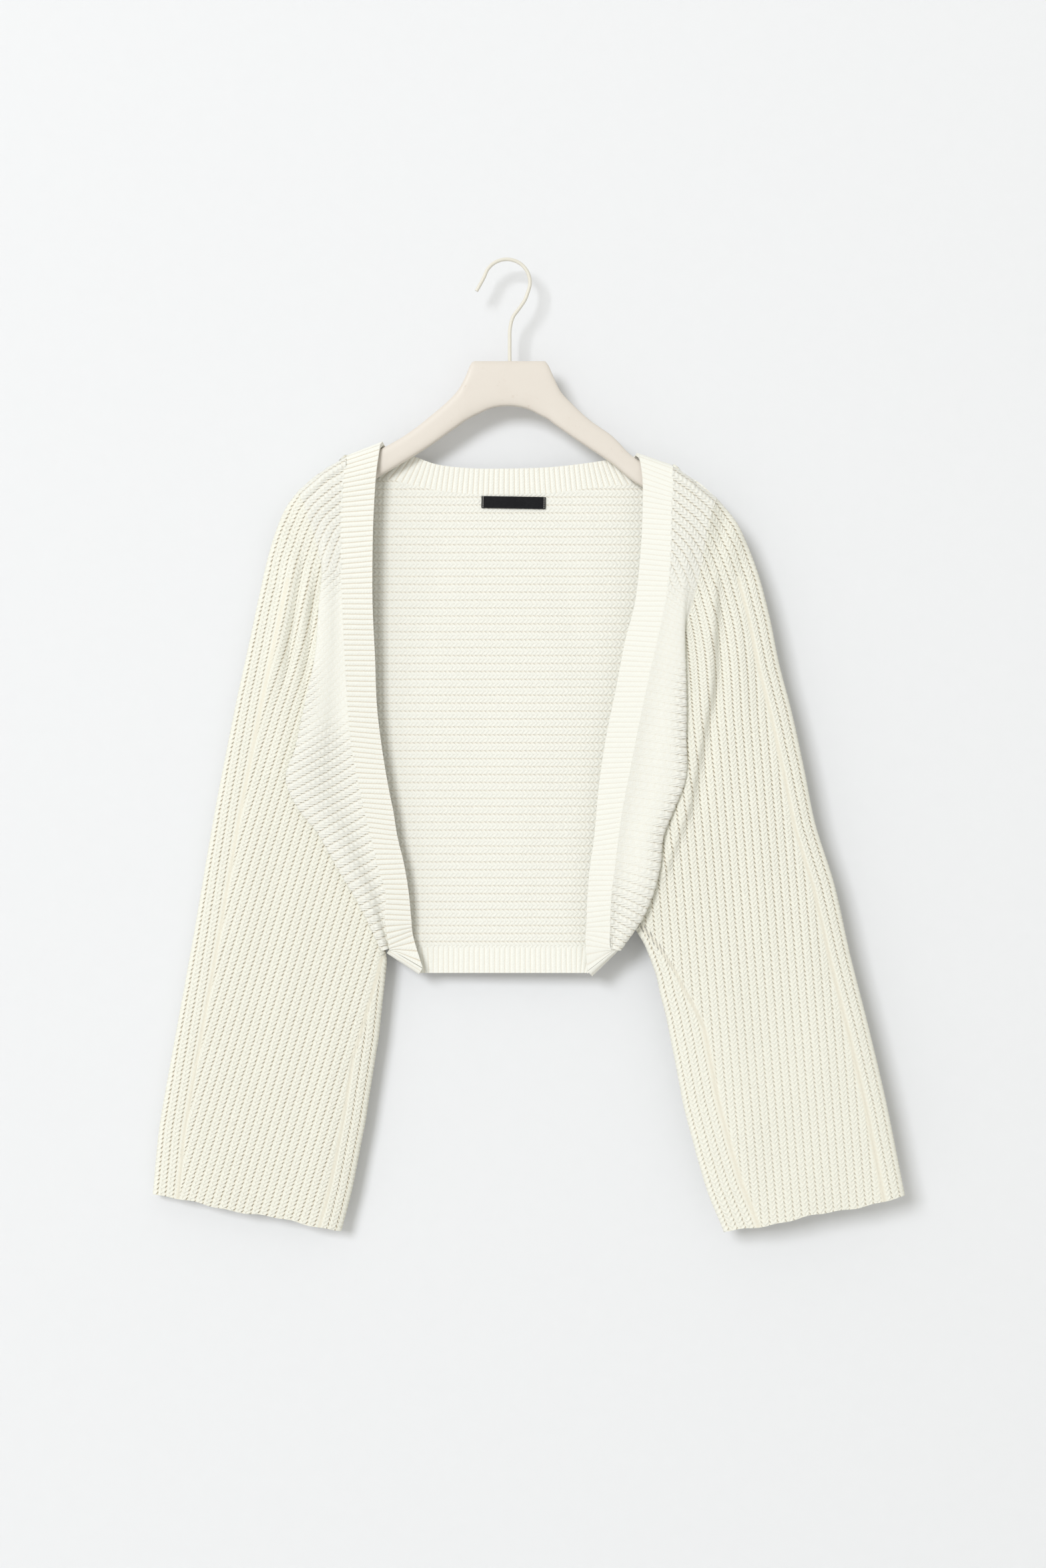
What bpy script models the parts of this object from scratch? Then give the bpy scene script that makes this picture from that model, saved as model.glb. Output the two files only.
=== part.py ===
"""A knitted batwing shrug hanging on a moulded hanger.

Frame: metres, +Z up. The origin is the inside top of the hanger's hook, where a rod or a wall hook
carries it. The front faces -Y. Lengths in the tables are millimetres: `out` is the distance from the
middle towards the piece's own side, and z is the height, below the origin.
"""
import math
from collections import namedtuple

import bpy
import bmesh
from mathutils import Vector

MM = 0.001
CLOTH = 3.0            # thickness of the half-cardigan knit
SEAM_GAP = 0.3         # space left between two pieces that are sewn together
BAND_GAP = 0.4         # the same at the curved edges of the front bands
LIP = 6.0              # how far the front runs on past the hidden valley of its fold
LEFT, RIGHT = -1, 1

# ---------------------------------------------------------------- hanger
WIRE_RADIUS = 1.65
HOOK_RADIUS = 21.3     # middle of the wire, round the hook
HOOK_CENTRE_X = -2.7
STEM_TOP_Z = -61.0
BLOCK_TOP_Z = -92.0
HANGER_HALF_DEPTH = 5.5

HangerStation = namedtuple("HangerStation", "x top bottom")
HANGER_STATIONS = [
    HangerStation(-186, -217, -226), HangerStation(-177, -205, -228), HangerStation(-146, -184, -212),
    HangerStation(-115, -171, -195), HangerStation(-90, -156, -180), HangerStation(-71, -141, -168),
    HangerStation(-57, -129, -158), HangerStation(-47, -118, -151), HangerStation(-40, -105, -146),
    HangerStation(-34, -92.5, -142.5), HangerStation(-17, -92, -135), HangerStation(0, -92, -133),
    HangerStation(17, -92, -136), HangerStation(33, -92.5, -144), HangerStation(40, -106, -149),
    HangerStation(47, -120, -154), HangerStation(57, -131, -161), HangerStation(72, -145, -171),
    HangerStation(93, -160, -185), HangerStation(115, -181, -203), HangerStation(146, -193.5, -220),
    HangerStation(173, -213, -236), HangerStation(182, -225, -235),
]

# ---------------------------------------------------------------- front pieces
# One row for each section across a front, from the top of the shoulder to the lower corner: the sewn
# edge of the band, the outer fold, and the line where the sleeve carries on. The front lies at `top`
# and the sleeve at `low` (both are y); `fold` says how far the cloth has doubled under.
Front = namedtuple("Front", "seam_out seam_z fold_out fold_z arm_out arm_z top low fold")
FRONT_ROWS = {
    LEFT: [
        Front(147, -179, 172, -194, 192, -211, 0.0, 0.0, 0.0),
        Front(149, -182, 173, -198, 190.5, -214.5, -7.0, -6.5, 0.0),
        Front(151, -192, 173, -207, 187, -224, -10.0, -9.5, 0.0),
        Front(154, -235, 171, -244, 178, -252, -11.5, -9.0, 0.0),
        Front(154, -275, 170, -275, 173, -276, -12.5, -7.5, 0.2),
        Front(153, -315, 173, -315, 168, -318, -13.5, -5.0, 0.9),
        Front(151, -362, 176, -360, 162, -362, -13.5, -4.5, 1.0),
        Front(148, -410, 186, -408, 156, -410, -13.5, -4.5, 1.0),
        Front(144, -448, 194, -445, 151, -448, -13.5, -4.5, 1.0),
        Front(137, -485, 202, -479, 147, -484, -13.5, -4.5, 1.0),
        Front(133, -503, 192, -501, 144, -503, -13.5, -4.5, 1.0),
        Front(128, -522, 176, -521, 141, -521, -13.5, -4.5, 1.0),
        Front(120, -556, 158, -556, 134, -556, -13.5, -4.5, 1.0),
        Front(113, -580, 145, -582, 125, -584, -12.5, -4.0, 1.0),
        Front(114, -602, 134, -604, 119, -606, -11.5, -3.0, 1.0),
        Front(112, -622, 122, -622, 115.5, -625, -9.5, -1.5, 1.0),
    ],
    RIGHT: [
        Front(148, -188, 170, -203, 188, -218, 0.0, 0.0, 0.0),
        Front(149, -191, 170, -206.5, 187, -221.5, -7.0, -6.5, 0.0),
        Front(149, -201, 170, -214, 184, -230, -10.0, -9.5, 0.0),
        Front(148, -240, 166, -250, 178, -262, -11.5, -9.0, 0.0),
        Front(147, -275, 162, -285, 172, -296, -12.5, -8.5, 0.0),
        Front(142, -315, 160, -318, 165, -322, -13.0, -7.5, 0.2),
        Front(134, -352, 159, -350, 156, -355, -13.5, -5.0, 0.9),
        Front(125, -392, 160, -392, 150, -394, -13.5, -4.5, 1.0),
        Front(116, -436, 160, -436, 145, -436, -13.5, -4.5, 1.0),
        Front(107, -482, 158, -480, 139, -480, -13.5, -4.5, 1.0),
        Front(103, -503, 149, -502, 135, -502, -13.5, -4.5, 1.0),
        Front(100, -524, 140, -524, 131, -524, -13.5, -4.5, 1.0),
        Front(96, -556, 136, -556, 126, -556, -13.5, -4.5, 1.0),
        Front(93, -580, 130, -579, 120, -580, -13.0, -4.0, 1.0),
        Front(92, -603, 118, -602, 113, -600, -12.0, -3.5, 1.0),
        Front(94, -617, 104, -617, 103, -616, -9.5, -1.5, 0.6),
    ],
}
ARMHOLE_ROWS = {LEFT: 16, RIGHT: 15}      # the last right row is the short side edge under the arm

# ---------------------------------------------------------------- bands
# The free edge of each front band, level with the rows above, and the slanting fold at its foot.
Edge = namedtuple("Edge", "out z")
BAND_EDGE = {
    LEFT: [Edge(116, -167), Edge(118, -171), Edge(120, -183), Edge(124, -233), Edge(125, -272),
           Edge(125, -315), Edge(123, -362), Edge(121, -411), Edge(116, -451), Edge(110, -486),
           Edge(106, -506), Edge(103, -525), Edge(96, -555), Edge(92, -581), Edge(90, -603),
           Edge(88, -626)],
    RIGHT: [Edge(116, -177), Edge(118, -180), Edge(120, -190), Edge(121, -238), Edge(119, -272),
            Edge(114, -315), Edge(105, -350), Edge(97, -392), Edge(88, -436), Edge(81, -484),
            Edge(79, -506), Edge(77, -528), Edge(73, -556), Edge(71, -581), Edge(70, -606),
            Edge(70, -628)],
}
BandFoot = namedtuple("BandFoot", "seam_out seam_z free_out free_z y")
BAND_FOOT = {LEFT: BandFoot(107, -630, 80, -649, -7.0), RIGHT: BandFoot(94, -630, 70, -651, -7.0)}

# The neck band runs behind the hanger, from the top of one shoulder to the other.
Neck = namedtuple("Neck", "x top seam_x seam y")
NECK_ROWS = [
    Neck(-116, -167, -147, -179, 0.0), Neck(-114, -170, -144.5, -183, 6.5),
    Neck(-107, -174, -135, -191, 9.5), Neck(-87, -178.5, -100, -201.5, 9.8), Neck(-68, -185, -73, -208, 9.8),
    Neck(-40, -188.5, -42, -212, 9.8), Neck(0, -189, 0, -213, 9.8), Neck(40, -187.5, 42, -211, 9.8),
    Neck(71, -184, 75, -207, 9.8), Neck(92, -181, 103, -204, 9.8), Neck(109, -180, 136, -200, 9.5),
    Neck(114.5, -178.5, 145.5, -192, 6.5), Neck(116, -177, 148, -188, 0.0),
]
NECK_SEAM_EASE = 0.8    # extra room beside the neck band where it turns up over the shoulders
HEM_SEAM_Z = -629.5
HEM_FREE_Z = -653.0
HEM_Y = 4.5
HEM_COLUMNS = 9

# ---------------------------------------------------------------- sleeves
# One row for each ring of a sleeve, from just past the armhole to the cuff.
Ring = namedtuple("Ring", "outer_out outer_z inner_out inner_z depth middle_y")
SLEEVE_RINGS = {
    LEFT: [
        Ring(202, -224, 114.5, -640, 15, 3.0), Ring(211, -243, 116, -658, 15, 3.0),
        Ring(220, -270, 118, -676, 15, 3.0), Ring(228, -305, 120, -694, 15, 3.0),
        Ring(238, -352, 122, -712, 15, 3.0), Ring(249, -402, 125, -731, 15, 3.0),
        Ring(259, -452, 128, -750, 15, 3.0), Ring(269, -504, 131, -769, 15, 3.0),
        Ring(278, -556, 134, -789, 15, 3.0), Ring(288, -615, 138, -809, 15, 3.0),
        Ring(299, -676, 142, -830, 15, 3.0), Ring(310, -737, 146, -850, 15, 2.5),
        Ring(320, -795, 151, -870, 14, 2.5), Ring(326, -855, 156, -888, 14, 2.0),
    ],
    RIGHT: [
        Ring(197, -228, 117, -612, 15, 3.0), Ring(207, -241, 124, -624, 15, 3.0),
        Ring(217, -261, 130, -638, 15, 3.0), Ring(227, -288, 136, -655, 15, 3.0),
        Ring(237, -326, 140, -673, 15, 3.0), Ring(246, -370, 145, -692, 15, 3.0),
        Ring(257, -412, 149, -712, 15, 3.0), Ring(268, -462, 153, -732, 15, 3.0),
        Ring(279, -516, 157, -753, 15, 3.0), Ring(296, -570, 161, -774, 15, 3.0),
        Ring(311, -636, 167, -797, 15, 3.0), Ring(328, -703, 174, -823, 15, 2.5),
        Ring(344, -771, 183, -853, 14, 2.5), Ring(361, -858, 198, -890, 14, 2.0),
    ],
}
SLEEVE_SQUARENESS = 3.2       # 2 is an ellipse; more is a flatter tube with tighter edges

# Soft folds that stand up on the fronts of the sleeves.
Crease = namedtuple("Crease", "start_out start_z end_out end_z half_width height")
SLEEVE_CREASES = {
    LEFT: [Crease(196, -285, 206, -420, 9, 2.5)],
    RIGHT: [Crease(186, -320, 176, -442, 9, 5.0), Crease(176, -442, 152, -545, 8, 4.0)],
}

# ---------------------------------------------------------------- back
BACK_COLUMNS = 18
BACK_Y_TOP = 9.8
BACK_Y_HEM = 4.5
BACK_Y_FADE = (-300.0, -620.0)       # the back comes forward between these heights
SHOULDER_ROUND = 11.0

LABEL_CENTRE = (3.5, -220.5)
LABEL_SIZE = (59.0, 11.0, 0.8)
LABEL_TILT = math.radians(-1.0)


def clear_scene():
    for thing in list(bpy.data.objects):
        bpy.data.objects.remove(thing, do_unlink=True)


def material(name, colour, roughness):
    mat = bpy.data.materials.new(name)
    mat.use_nodes = True
    bsdf = mat.node_tree.nodes["Principled BSDF"]
    bsdf.inputs["Base Color"].default_value = (*colour, 1.0)
    bsdf.inputs["Roughness"].default_value = roughness
    bsdf.inputs["Metallic"].default_value = 0.0
    return mat


def lerp(a, b, t):
    return a + (b - a) * t


def new_object(name, mesh_builder, mat, smooth=True):
    bmesh.ops.recalc_face_normals(mesh_builder, faces=mesh_builder.faces)
    mesh = bpy.data.meshes.new(name)
    mesh_builder.to_mesh(mesh)
    mesh_builder.free()
    if smooth:
        mesh.shade_smooth()
        mesh.set_sharp_from_angle(angle=math.radians(50))
    mesh.materials.append(mat)
    thing = bpy.data.objects.new(name, mesh)
    bpy.context.scene.collection.objects.link(thing)
    return thing


# ---------------------------------------------------------------- cloth walls

def grid_normals(grid, closed):
    """The direction square to a grid of points at each of them."""
    rows = len(grid)
    columns = len(grid[0])
    normals = []
    for i in range(rows):
        line = []
        for j in range(columns):
            down = grid[min(i + 1, rows - 1)][j] - grid[max(i - 1, 0)][j]
            if closed:
                along = grid[i][(j + 1) % columns] - grid[i][j - 1]
            else:
                along = grid[i][min(j + 1, columns - 1)] - grid[i][max(j - 1, 0)]
            line.append(down.cross(along).normalized())
        normals.append(line)
    return normals


def edge_normals(points, facing):
    """Square to the cloth down an edge that starts at a crest: upright there, then facing out."""
    result = []
    for i, point in enumerate(points):
        run = points[min(i + 1, len(points) - 1)] - points[max(i - 1, 0)]
        normal = Vector((0.0, run.z, -run.y))
        if i == 0 and abs(point.y) < 1.0:
            normal = Vector((0.0, 0.0, 1.0))
        elif normal.y * facing < 0:
            normal.negate()
        result.append(normal.normalized())
    return result


def cloth_wall(name, grid, mat, closed=False, fixed=None, thickness=CLOTH):
    """A wall of cloth round a grid of points, square to it, or along the normals that `fixed` gives."""
    normals = grid_normals(grid, closed)
    rows = len(grid)
    columns = len(grid[0])
    for (i, j), normal in (fixed or {}).items():
        normals[i][j] = normal if normal.dot(normals[i][j]) > 0 else -normal
    bm = bmesh.new()
    layers = []
    for sign in (0.5, -0.5):
        layer = []
        for i in range(rows):
            layer.append([bm.verts.new((grid[i][j] + normals[i][j] * thickness * sign) * MM)
                          for j in range(columns)])
        layers.append(layer)
    last = columns if closed else columns - 1
    for layer in layers:
        for i in range(rows - 1):
            for j in range(last):
                k = (j + 1) % columns
                bm.faces.new((layer[i][j], layer[i][k], layer[i + 1][k], layer[i + 1][j]))
    face, back = layers
    for i in (0, rows - 1):
        for j in range(last):
            k = (j + 1) % columns
            bm.faces.new((face[i][j], face[i][k], back[i][k], back[i][j]))
    if not closed:
        for j in (0, columns - 1):
            for i in range(rows - 1):
                bm.faces.new((face[i][j], face[i + 1][j], back[i + 1][j], back[i][j]))
    return new_object(name, bm, mat)


def front_section(side, row):
    """The points of one section across a front: out to the fold, under, and out again as sleeve."""
    r = (row.low - row.top) / 4
    middle = (row.low + row.top) / 2
    valley = row.arm_out - LIP
    folded = [
        (row.fold_out - r, row.top), (row.fold_out, row.top + r), (row.fold_out - r, middle),
        (valley + r, middle), (valley, middle + r), (valley + r, row.low),
    ]
    points = []
    for step in (0.0, 0.35, 0.7):
        points.append((lerp(row.seam_out, row.fold_out - r, step), row.top,
                       lerp(row.seam_z, row.fold_z, step)))
    for k, (out, y) in enumerate(folded):
        t = (k + 1) / (len(folded) + 1)
        flat_out = lerp(row.fold_out - 2, row.arm_out, t)
        flat_y = lerp(row.top, row.low, t)
        points.append((lerp(flat_out, out, row.fold), lerp(flat_y, y, row.fold),
                       lerp(row.fold_z, row.arm_z, t)))
    points.append((row.arm_out - SEAM_GAP / 2, row.low, row.arm_z))
    return [Vector((side * out, y, z)) for out, y, z in points]


def build_front(side, name, mat):
    grid = [front_section(side, row) for row in FRONT_ROWS[side]]
    fixed = {(0, j): Vector((0.0, 0.0, 1.0)) for j in range(len(grid[0]))}
    for p in grid[0]:
        p.y = -SEAM_GAP / 2
    for j in (0, len(grid[0]) - 1):
        for i, normal in enumerate(edge_normals([line[j] for line in grid], -1)):
            fixed[(i, j)] = normal
    cloth_wall(name, grid, mat, fixed=fixed)


def build_front_band(side, name, mat):
    foot = BAND_FOOT[side]
    grid = []
    for row, edge in zip(FRONT_ROWS[side], BAND_EDGE[side]):
        y = min(row.top, -SEAM_GAP / 2)
        seam = Vector((side * (row.seam_out - BAND_GAP), y, row.seam_z))
        free = Vector((side * edge.out, y, edge.z))
        grid.append([seam.lerp(free, t) for t in (0.0, 0.5, 1.0)])
    seam = Vector((side * foot.seam_out, foot.y, foot.seam_z))
    free = Vector((side * foot.free_out, foot.y, foot.free_z))
    grid.append([seam.lerp(free, t) for t in (0.0, 0.5, 1.0)])
    fixed = {(0, j): Vector((0.0, 0.0, 1.0)) for j in range(3)}
    for i, normal in enumerate(edge_normals([line[0] for line in grid], -1)[:-1]):
        fixed[(i, 0)] = normal
    cloth_wall(name, grid, mat, fixed=fixed)


def build_neck_band(mat):
    grid = []
    for row in NECK_ROWS:
        y = max(row.y, SEAM_GAP / 2)
        free = Vector((row.x, y, row.top))
        inward = -math.copysign(NECK_SEAM_EASE, row.seam_x) if abs(row.seam_x) > 120 else 0.0
        seam = Vector((row.seam_x + inward, y, row.seam + SEAM_GAP))
        grid.append([free.lerp(seam, t) for t in (0.0, 0.5, 1.0)])
    fixed = {(i, j): Vector((0.0, 0.0, 1.0)) for i in (0, len(grid) - 1) for j in range(3)}
    cloth_wall("neck_band", grid, mat, fixed=fixed)


def hem_end(side):
    """The band's slanting fold: in front, at the turn and behind."""
    foot = BAND_FOOT[side]
    seam = Vector((side * foot.seam_out, foot.y, foot.seam_z))
    free = Vector((side * foot.free_out, foot.y, foot.free_z))
    run = (free - seam).normalized()
    outward = Vector((run.z, 0.0, -run.x)) * side
    if outward.z > 0:
        outward.negate()
    radius = (HEM_Y - foot.y) / 2
    columns = []
    for angle in (0, 45, 90, 135, 180):
        turn = math.radians(angle)
        shift = outward * (radius * math.sin(turn) + 2 * SEAM_GAP)
        y = (foot.y + HEM_Y) / 2 - radius * math.cos(turn)
        columns.append([Vector((p.x + shift.x, y, p.z + shift.z)) for p in
                        (seam, seam.lerp(free, 0.5), free)])
    return columns


def build_hem_band(mat):
    grid = hem_end(LEFT)
    first, last = -BAND_FOOT[LEFT].seam_out, BAND_FOOT[RIGHT].seam_out
    lean_left = BAND_FOOT[LEFT].seam_out - BAND_FOOT[LEFT].free_out
    lean_right = BAND_FOOT[RIGHT].seam_out - BAND_FOOT[RIGHT].free_out
    for k in range(1, HEM_COLUMNS):
        t = k / HEM_COLUMNS
        lean = lerp(lean_left, -lean_right, t)
        x = lerp(first, last, t)
        grid.append([Vector((x + lean * s, HEM_Y, lerp(HEM_SEAM_Z, HEM_FREE_Z, s))) for s in (0.0, 0.5, 1.0)])
    grid.extend(reversed(hem_end(RIGHT)))
    cloth_wall("hem_band", grid, mat)


# ---------------------------------------------------------------- sleeves

def armhole(side):
    """The line where the body becomes the sleeve: the points in front and those behind."""
    rows = FRONT_ROWS[side][:ARMHOLE_ROWS[side]]
    front = [Vector((side * (r.arm_out + SEAM_GAP / 2), r.low, r.arm_z)) for r in rows]
    back = [Vector((side * (r.arm_out + SEAM_GAP / 2), back_y(r.arm_z, rows[0].arm_z), r.arm_z)) for r in rows]
    return front, back


def back_y(z, crest_z):
    """How far back the back lies at a height, rounding over the shoulder below its crest."""
    fade = min(max((z - BACK_Y_FADE[0]) / (BACK_Y_FADE[1] - BACK_Y_FADE[0]), 0.0), 1.0)
    flat = lerp(BACK_Y_TOP, BACK_Y_HEM, fade)
    drop = min(max((crest_z - z) / SHOULDER_ROUND, 0.0), 1.0)
    return flat * math.sqrt(1 - (1 - drop) ** 2)


def crease_lift(side, point):
    lift = 0.0
    for c in SLEEVE_CREASES[side]:
        a = Vector((side * c.start_out, 0.0, c.start_z))
        b = Vector((side * c.end_out, 0.0, c.end_z))
        p = Vector((point.x, 0.0, point.z))
        t = min(max((p - a).dot(b - a) / (b - a).length_squared, 0.0), 1.0)
        distance = (p - a.lerp(b, t)).length
        lift = max(lift, c.height * math.exp(-(distance / c.half_width) ** 2))
    return lift


def build_sleeve(side, name, mat):
    """The sleeve's rings, which meet the body square to the cloth at the armhole."""
    grid = sleeve_grid(side)
    front, back = armhole(side)
    ring = len(grid[0])
    fixed = {(0, 0): Vector((0.0, 0.0, 1.0))}
    for i, normal in enumerate(edge_normals(front, -1)[1:], 1):
        fixed[(0, i)] = normal
    for i, normal in enumerate(edge_normals(back, 1)[1:], 1):
        fixed[(0, ring - i)] = normal
    cloth_wall(name, grid, mat, closed=True, fixed=fixed)


def sleeve_grid(side):
    front, back = armhole(side)
    count = len(front)
    tip, pit = front[0].copy(), front[-1].copy()
    tip.y = 0.0
    chord = pit - tip
    fractions = [(p - tip).dot(chord) / chord.length_squared for p in front]
    bends = [p - (tip + chord * f) for p, f in zip(front, fractions)]
    first = SLEEVE_RINGS[side][0]
    apex = pit.lerp(Vector((side * first.inner_out, 0.0, first.inner_z)), 0.2)
    apex.y = (front[-1].y + back[-1].y) / 2
    grid = [[tip] + front[1:] + [apex] + list(reversed(back[1:]))]
    rings = SLEEVE_RINGS[side]
    for number, ring in enumerate(rings, 1):
        outer = Vector((side * ring.outer_out, 0.0, ring.outer_z))
        inner = Vector((side * ring.inner_out, 0.0, ring.inner_z))
        keep = (1 - number / len(rings)) ** 2
        line = []
        for sign in (-1, 1):
            half = []
            for i in range(1, count):
                f = fractions[i] * 0.985
                p = outer.lerp(inner, f)
                p.x += bends[i].x * keep
                p.z += bends[i].z * keep
                round_off = (1 - abs(2 * f - 1) ** SLEEVE_SQUARENESS) ** (1 / SLEEVE_SQUARENESS)
                p.y = ring.middle_y + sign * ring.depth / 2 * round_off
                if sign < 0:
                    p.y -= crease_lift(side, p)
                half.append(p)
            line.append(half)
        start = outer.copy()
        start.y = ring.middle_y if number > 2 else 0.0
        end = inner.copy()
        end.y = ring.middle_y
        grid.append([start] + line[0] + [end] + list(reversed(line[1])))
    return grid


# ---------------------------------------------------------------- back

def resample(points, count):
    """Points spread evenly along a line of points."""
    lengths = [0.0]
    for a, b in zip(points, points[1:]):
        lengths.append(lengths[-1] + (b - a).length)
    result = []
    for k in range(count):
        target = lengths[-1] * k / (count - 1)
        i = 1
        while i < len(lengths) - 1 and lengths[i] < target:
            i += 1
        t = (target - lengths[i - 1]) / (lengths[i] - lengths[i - 1])
        result.append(points[i - 1].lerp(points[i], t))
    return result


def back_edges():
    """The four edges of the back: the armholes at its sides, the shoulders and neck, and the hem."""
    sides = {}
    for side in (LEFT, RIGHT):
        rows = FRONT_ROWS[side][:15]
        sides[side] = [Vector((side * (r.arm_out - SEAM_GAP / 2), 0.0, r.arm_z)) for r in rows]
    left_tip, right_tip = sides[LEFT][0], sides[RIGHT][0]
    neck = [Vector((r.seam_x, r.y, r.seam)) for r in NECK_ROWS]
    shoulder_left = [left_tip.lerp(neck[0], t) for t in (0.0, 0.35, 0.7)]
    shoulder_left[1].z += 2.5
    shoulder_right = [right_tip.lerp(neck[-1], t) for t in (0.7, 0.35, 0.0)]
    shoulder_right[1].z += 2.5
    top = shoulder_left + neck + shoulder_right
    hem_top = HEM_SEAM_Z + SEAM_GAP + 0.2
    hem = [sides[LEFT][-1], Vector((-112, 0.0, -624)), Vector((-105, 0.0, hem_top)), Vector((-60, 0.0, hem_top)),
           Vector((0, 0.0, hem_top)), Vector((50, 0.0, hem_top)), Vector((92, 0.0, hem_top + 2)),
           sides[RIGHT][-1]]
    return sides[LEFT], sides[RIGHT], top, hem


def build_back(mat):
    left, right, top, hem = back_edges()
    columns = len(top)
    hem = resample(hem, columns)
    rows = len(left)
    levels = [(p.z - left[0].z) / (left[-1].z - left[0].z) for p in left]
    grid = []
    for i in range(rows):
        v = levels[i]
        line = []
        for j in range(columns):
            u = (top[j].x - top[0].x) / (top[-1].x - top[0].x)
            point = (top[j].lerp(hem[j], v) + left[i].lerp(right[i], u)
                     - top[0].lerp(top[-1], u).lerp(hem[0].lerp(hem[-1], u), v))
            drop = top[j].z - point.z
            rise = max(min(drop / SHOULDER_ROUND, 1.0), 0.0)
            flat = back_y(point.z, 0.0)
            point.y = lerp(top[j].y, flat, math.sqrt(1 - (1 - rise) ** 2))
            point.y = max(point.y, SEAM_GAP / 2)
            line.append(point)
        grid.append(line)
    for i in range(rows):
        for j, side in ((0, LEFT), (columns - 1, RIGHT)):
            crest = grid[0][j].z
            grid[i][j].y = max(back_y(grid[i][j].z, crest), SEAM_GAP / 2)
    fixed = {}
    for j in (0, columns - 1):
        for i, normal in enumerate(edge_normals([line[j] for line in grid], 1)):
            fixed[(i, j)] = normal
    for j, point in enumerate(grid[0]):
        if point.y < 1.0:
            fixed[(0, j)] = Vector((0.0, 0.0, 1.0))
    cloth_wall("back", grid, mat, fixed=fixed)


def build_label(mat):
    bm = bmesh.new()
    bmesh.ops.create_cube(bm, size=1.0)
    width, height, thick = LABEL_SIZE
    bmesh.ops.scale(bm, vec=(width * MM, thick * MM, height * MM), verts=bm.verts)
    thing = new_object("label", bm, mat, smooth=False)
    inside = BACK_Y_TOP - CLOTH / 2
    thing.location = (LABEL_CENTRE[0] * MM, (inside - SEAM_GAP - thick / 2) * MM, LABEL_CENTRE[1] * MM)
    thing.rotation_euler = (0.0, -LABEL_TILT, 0.0)


# ---------------------------------------------------------------- hanger

def build_hanger_body(mat):
    """A moulded bar of rounded section, lofted through its stations."""
    bm = bmesh.new()
    corners = 12
    rings = []
    for number, station in enumerate(HANGER_STATIONS):
        middle = (station.top + station.bottom) / 2
        half = (station.top - station.bottom) / 2
        depth = HANGER_HALF_DEPTH * (0.7 if number in (0, len(HANGER_STATIONS) - 1) else 1.0)
        ring = []
        for k in range(corners):
            angle = 2 * math.pi * (k + 0.5) / corners
            across = math.copysign(abs(math.cos(angle)) ** 0.5, math.cos(angle))
            up = math.copysign(abs(math.sin(angle)) ** 0.5, math.sin(angle))
            ring.append(bm.verts.new(Vector((station.x, across * depth, middle + up * half)) * MM))
        rings.append(ring)
    for a, b in zip(rings, rings[1:]):
        for k in range(corners):
            m = (k + 1) % corners
            bm.faces.new((a[k], a[m], b[m], b[k]))
    bm.faces.new(rings[0])
    bm.faces.new(rings[-1])
    return new_object("hanger_body", bm, mat)


def hook_points():
    """The wire's middle: up the stem, through a slack bend, round the hook and down its tail."""
    centre_z = WIRE_RADIUS - HOOK_RADIUS
    points = [(0.0, BLOCK_TOP_Z - 0.1), (0.0, -75.0), (0.4, STEM_TOP_Z), (3.2, -51.0), (9.0, -43.0),
              (14.2, -35.0)]
    for angle in range(-25, 166, 19):
        turn = math.radians(angle)
        points.append((HOOK_CENTRE_X + HOOK_RADIUS * math.cos(turn), centre_z + HOOK_RADIUS * math.sin(turn)))
    points.append((-30.5, -27.5))
    return points


def build_hook(mat):
    curve = bpy.data.curves.new("hanger_hook", "CURVE")
    curve.dimensions = "3D"
    curve.bevel_depth = WIRE_RADIUS * MM
    curve.bevel_resolution = 2
    curve.use_fill_caps = True
    spline = curve.splines.new("POLY")
    points = hook_points()
    spline.points.add(len(points) - 1)
    for target, (x, z) in zip(spline.points, points):
        target.co = (x * MM, 0.0, z * MM, 1.0)
    curve.materials.append(mat)
    thing = bpy.data.objects.new("hanger_hook", curve)
    bpy.context.scene.collection.objects.link(thing)


def main():
    clear_scene()
    knit = material("cream_knit", (0.88, 0.86, 0.77), 0.9)
    rib = material("cream_rib", (0.87, 0.85, 0.76), 0.9)
    black = material("black_tape", (0.02, 0.02, 0.02), 0.7)
    blush = material("blush_moulding", (0.80, 0.72, 0.65), 0.5)
    wire = material("cream_wire", (0.84, 0.80, 0.70), 0.4)
    build_hanger_body(blush)
    build_hook(wire)
    build_neck_band(rib)
    for side, word in ((LEFT, "left"), (RIGHT, "right")):
        build_front(side, "front_" + word, knit)
        build_front_band(side, "front_band_" + word, rib)
        build_sleeve(side, "sleeve_" + word, knit)
    build_hem_band(rib)
    build_back(knit)
    build_label(black)


main()
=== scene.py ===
# %% [markdown]
# # A knitted shrug on its hanger
# This lesson dresses a plain model in real knitwear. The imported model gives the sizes: every piece of
# the garment is already there as a smooth wall. Here each one is made again as a thin sheet with its
# ribs standing up, and gets a material that draws the single stitches.

# %% Load the model
import math

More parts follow.
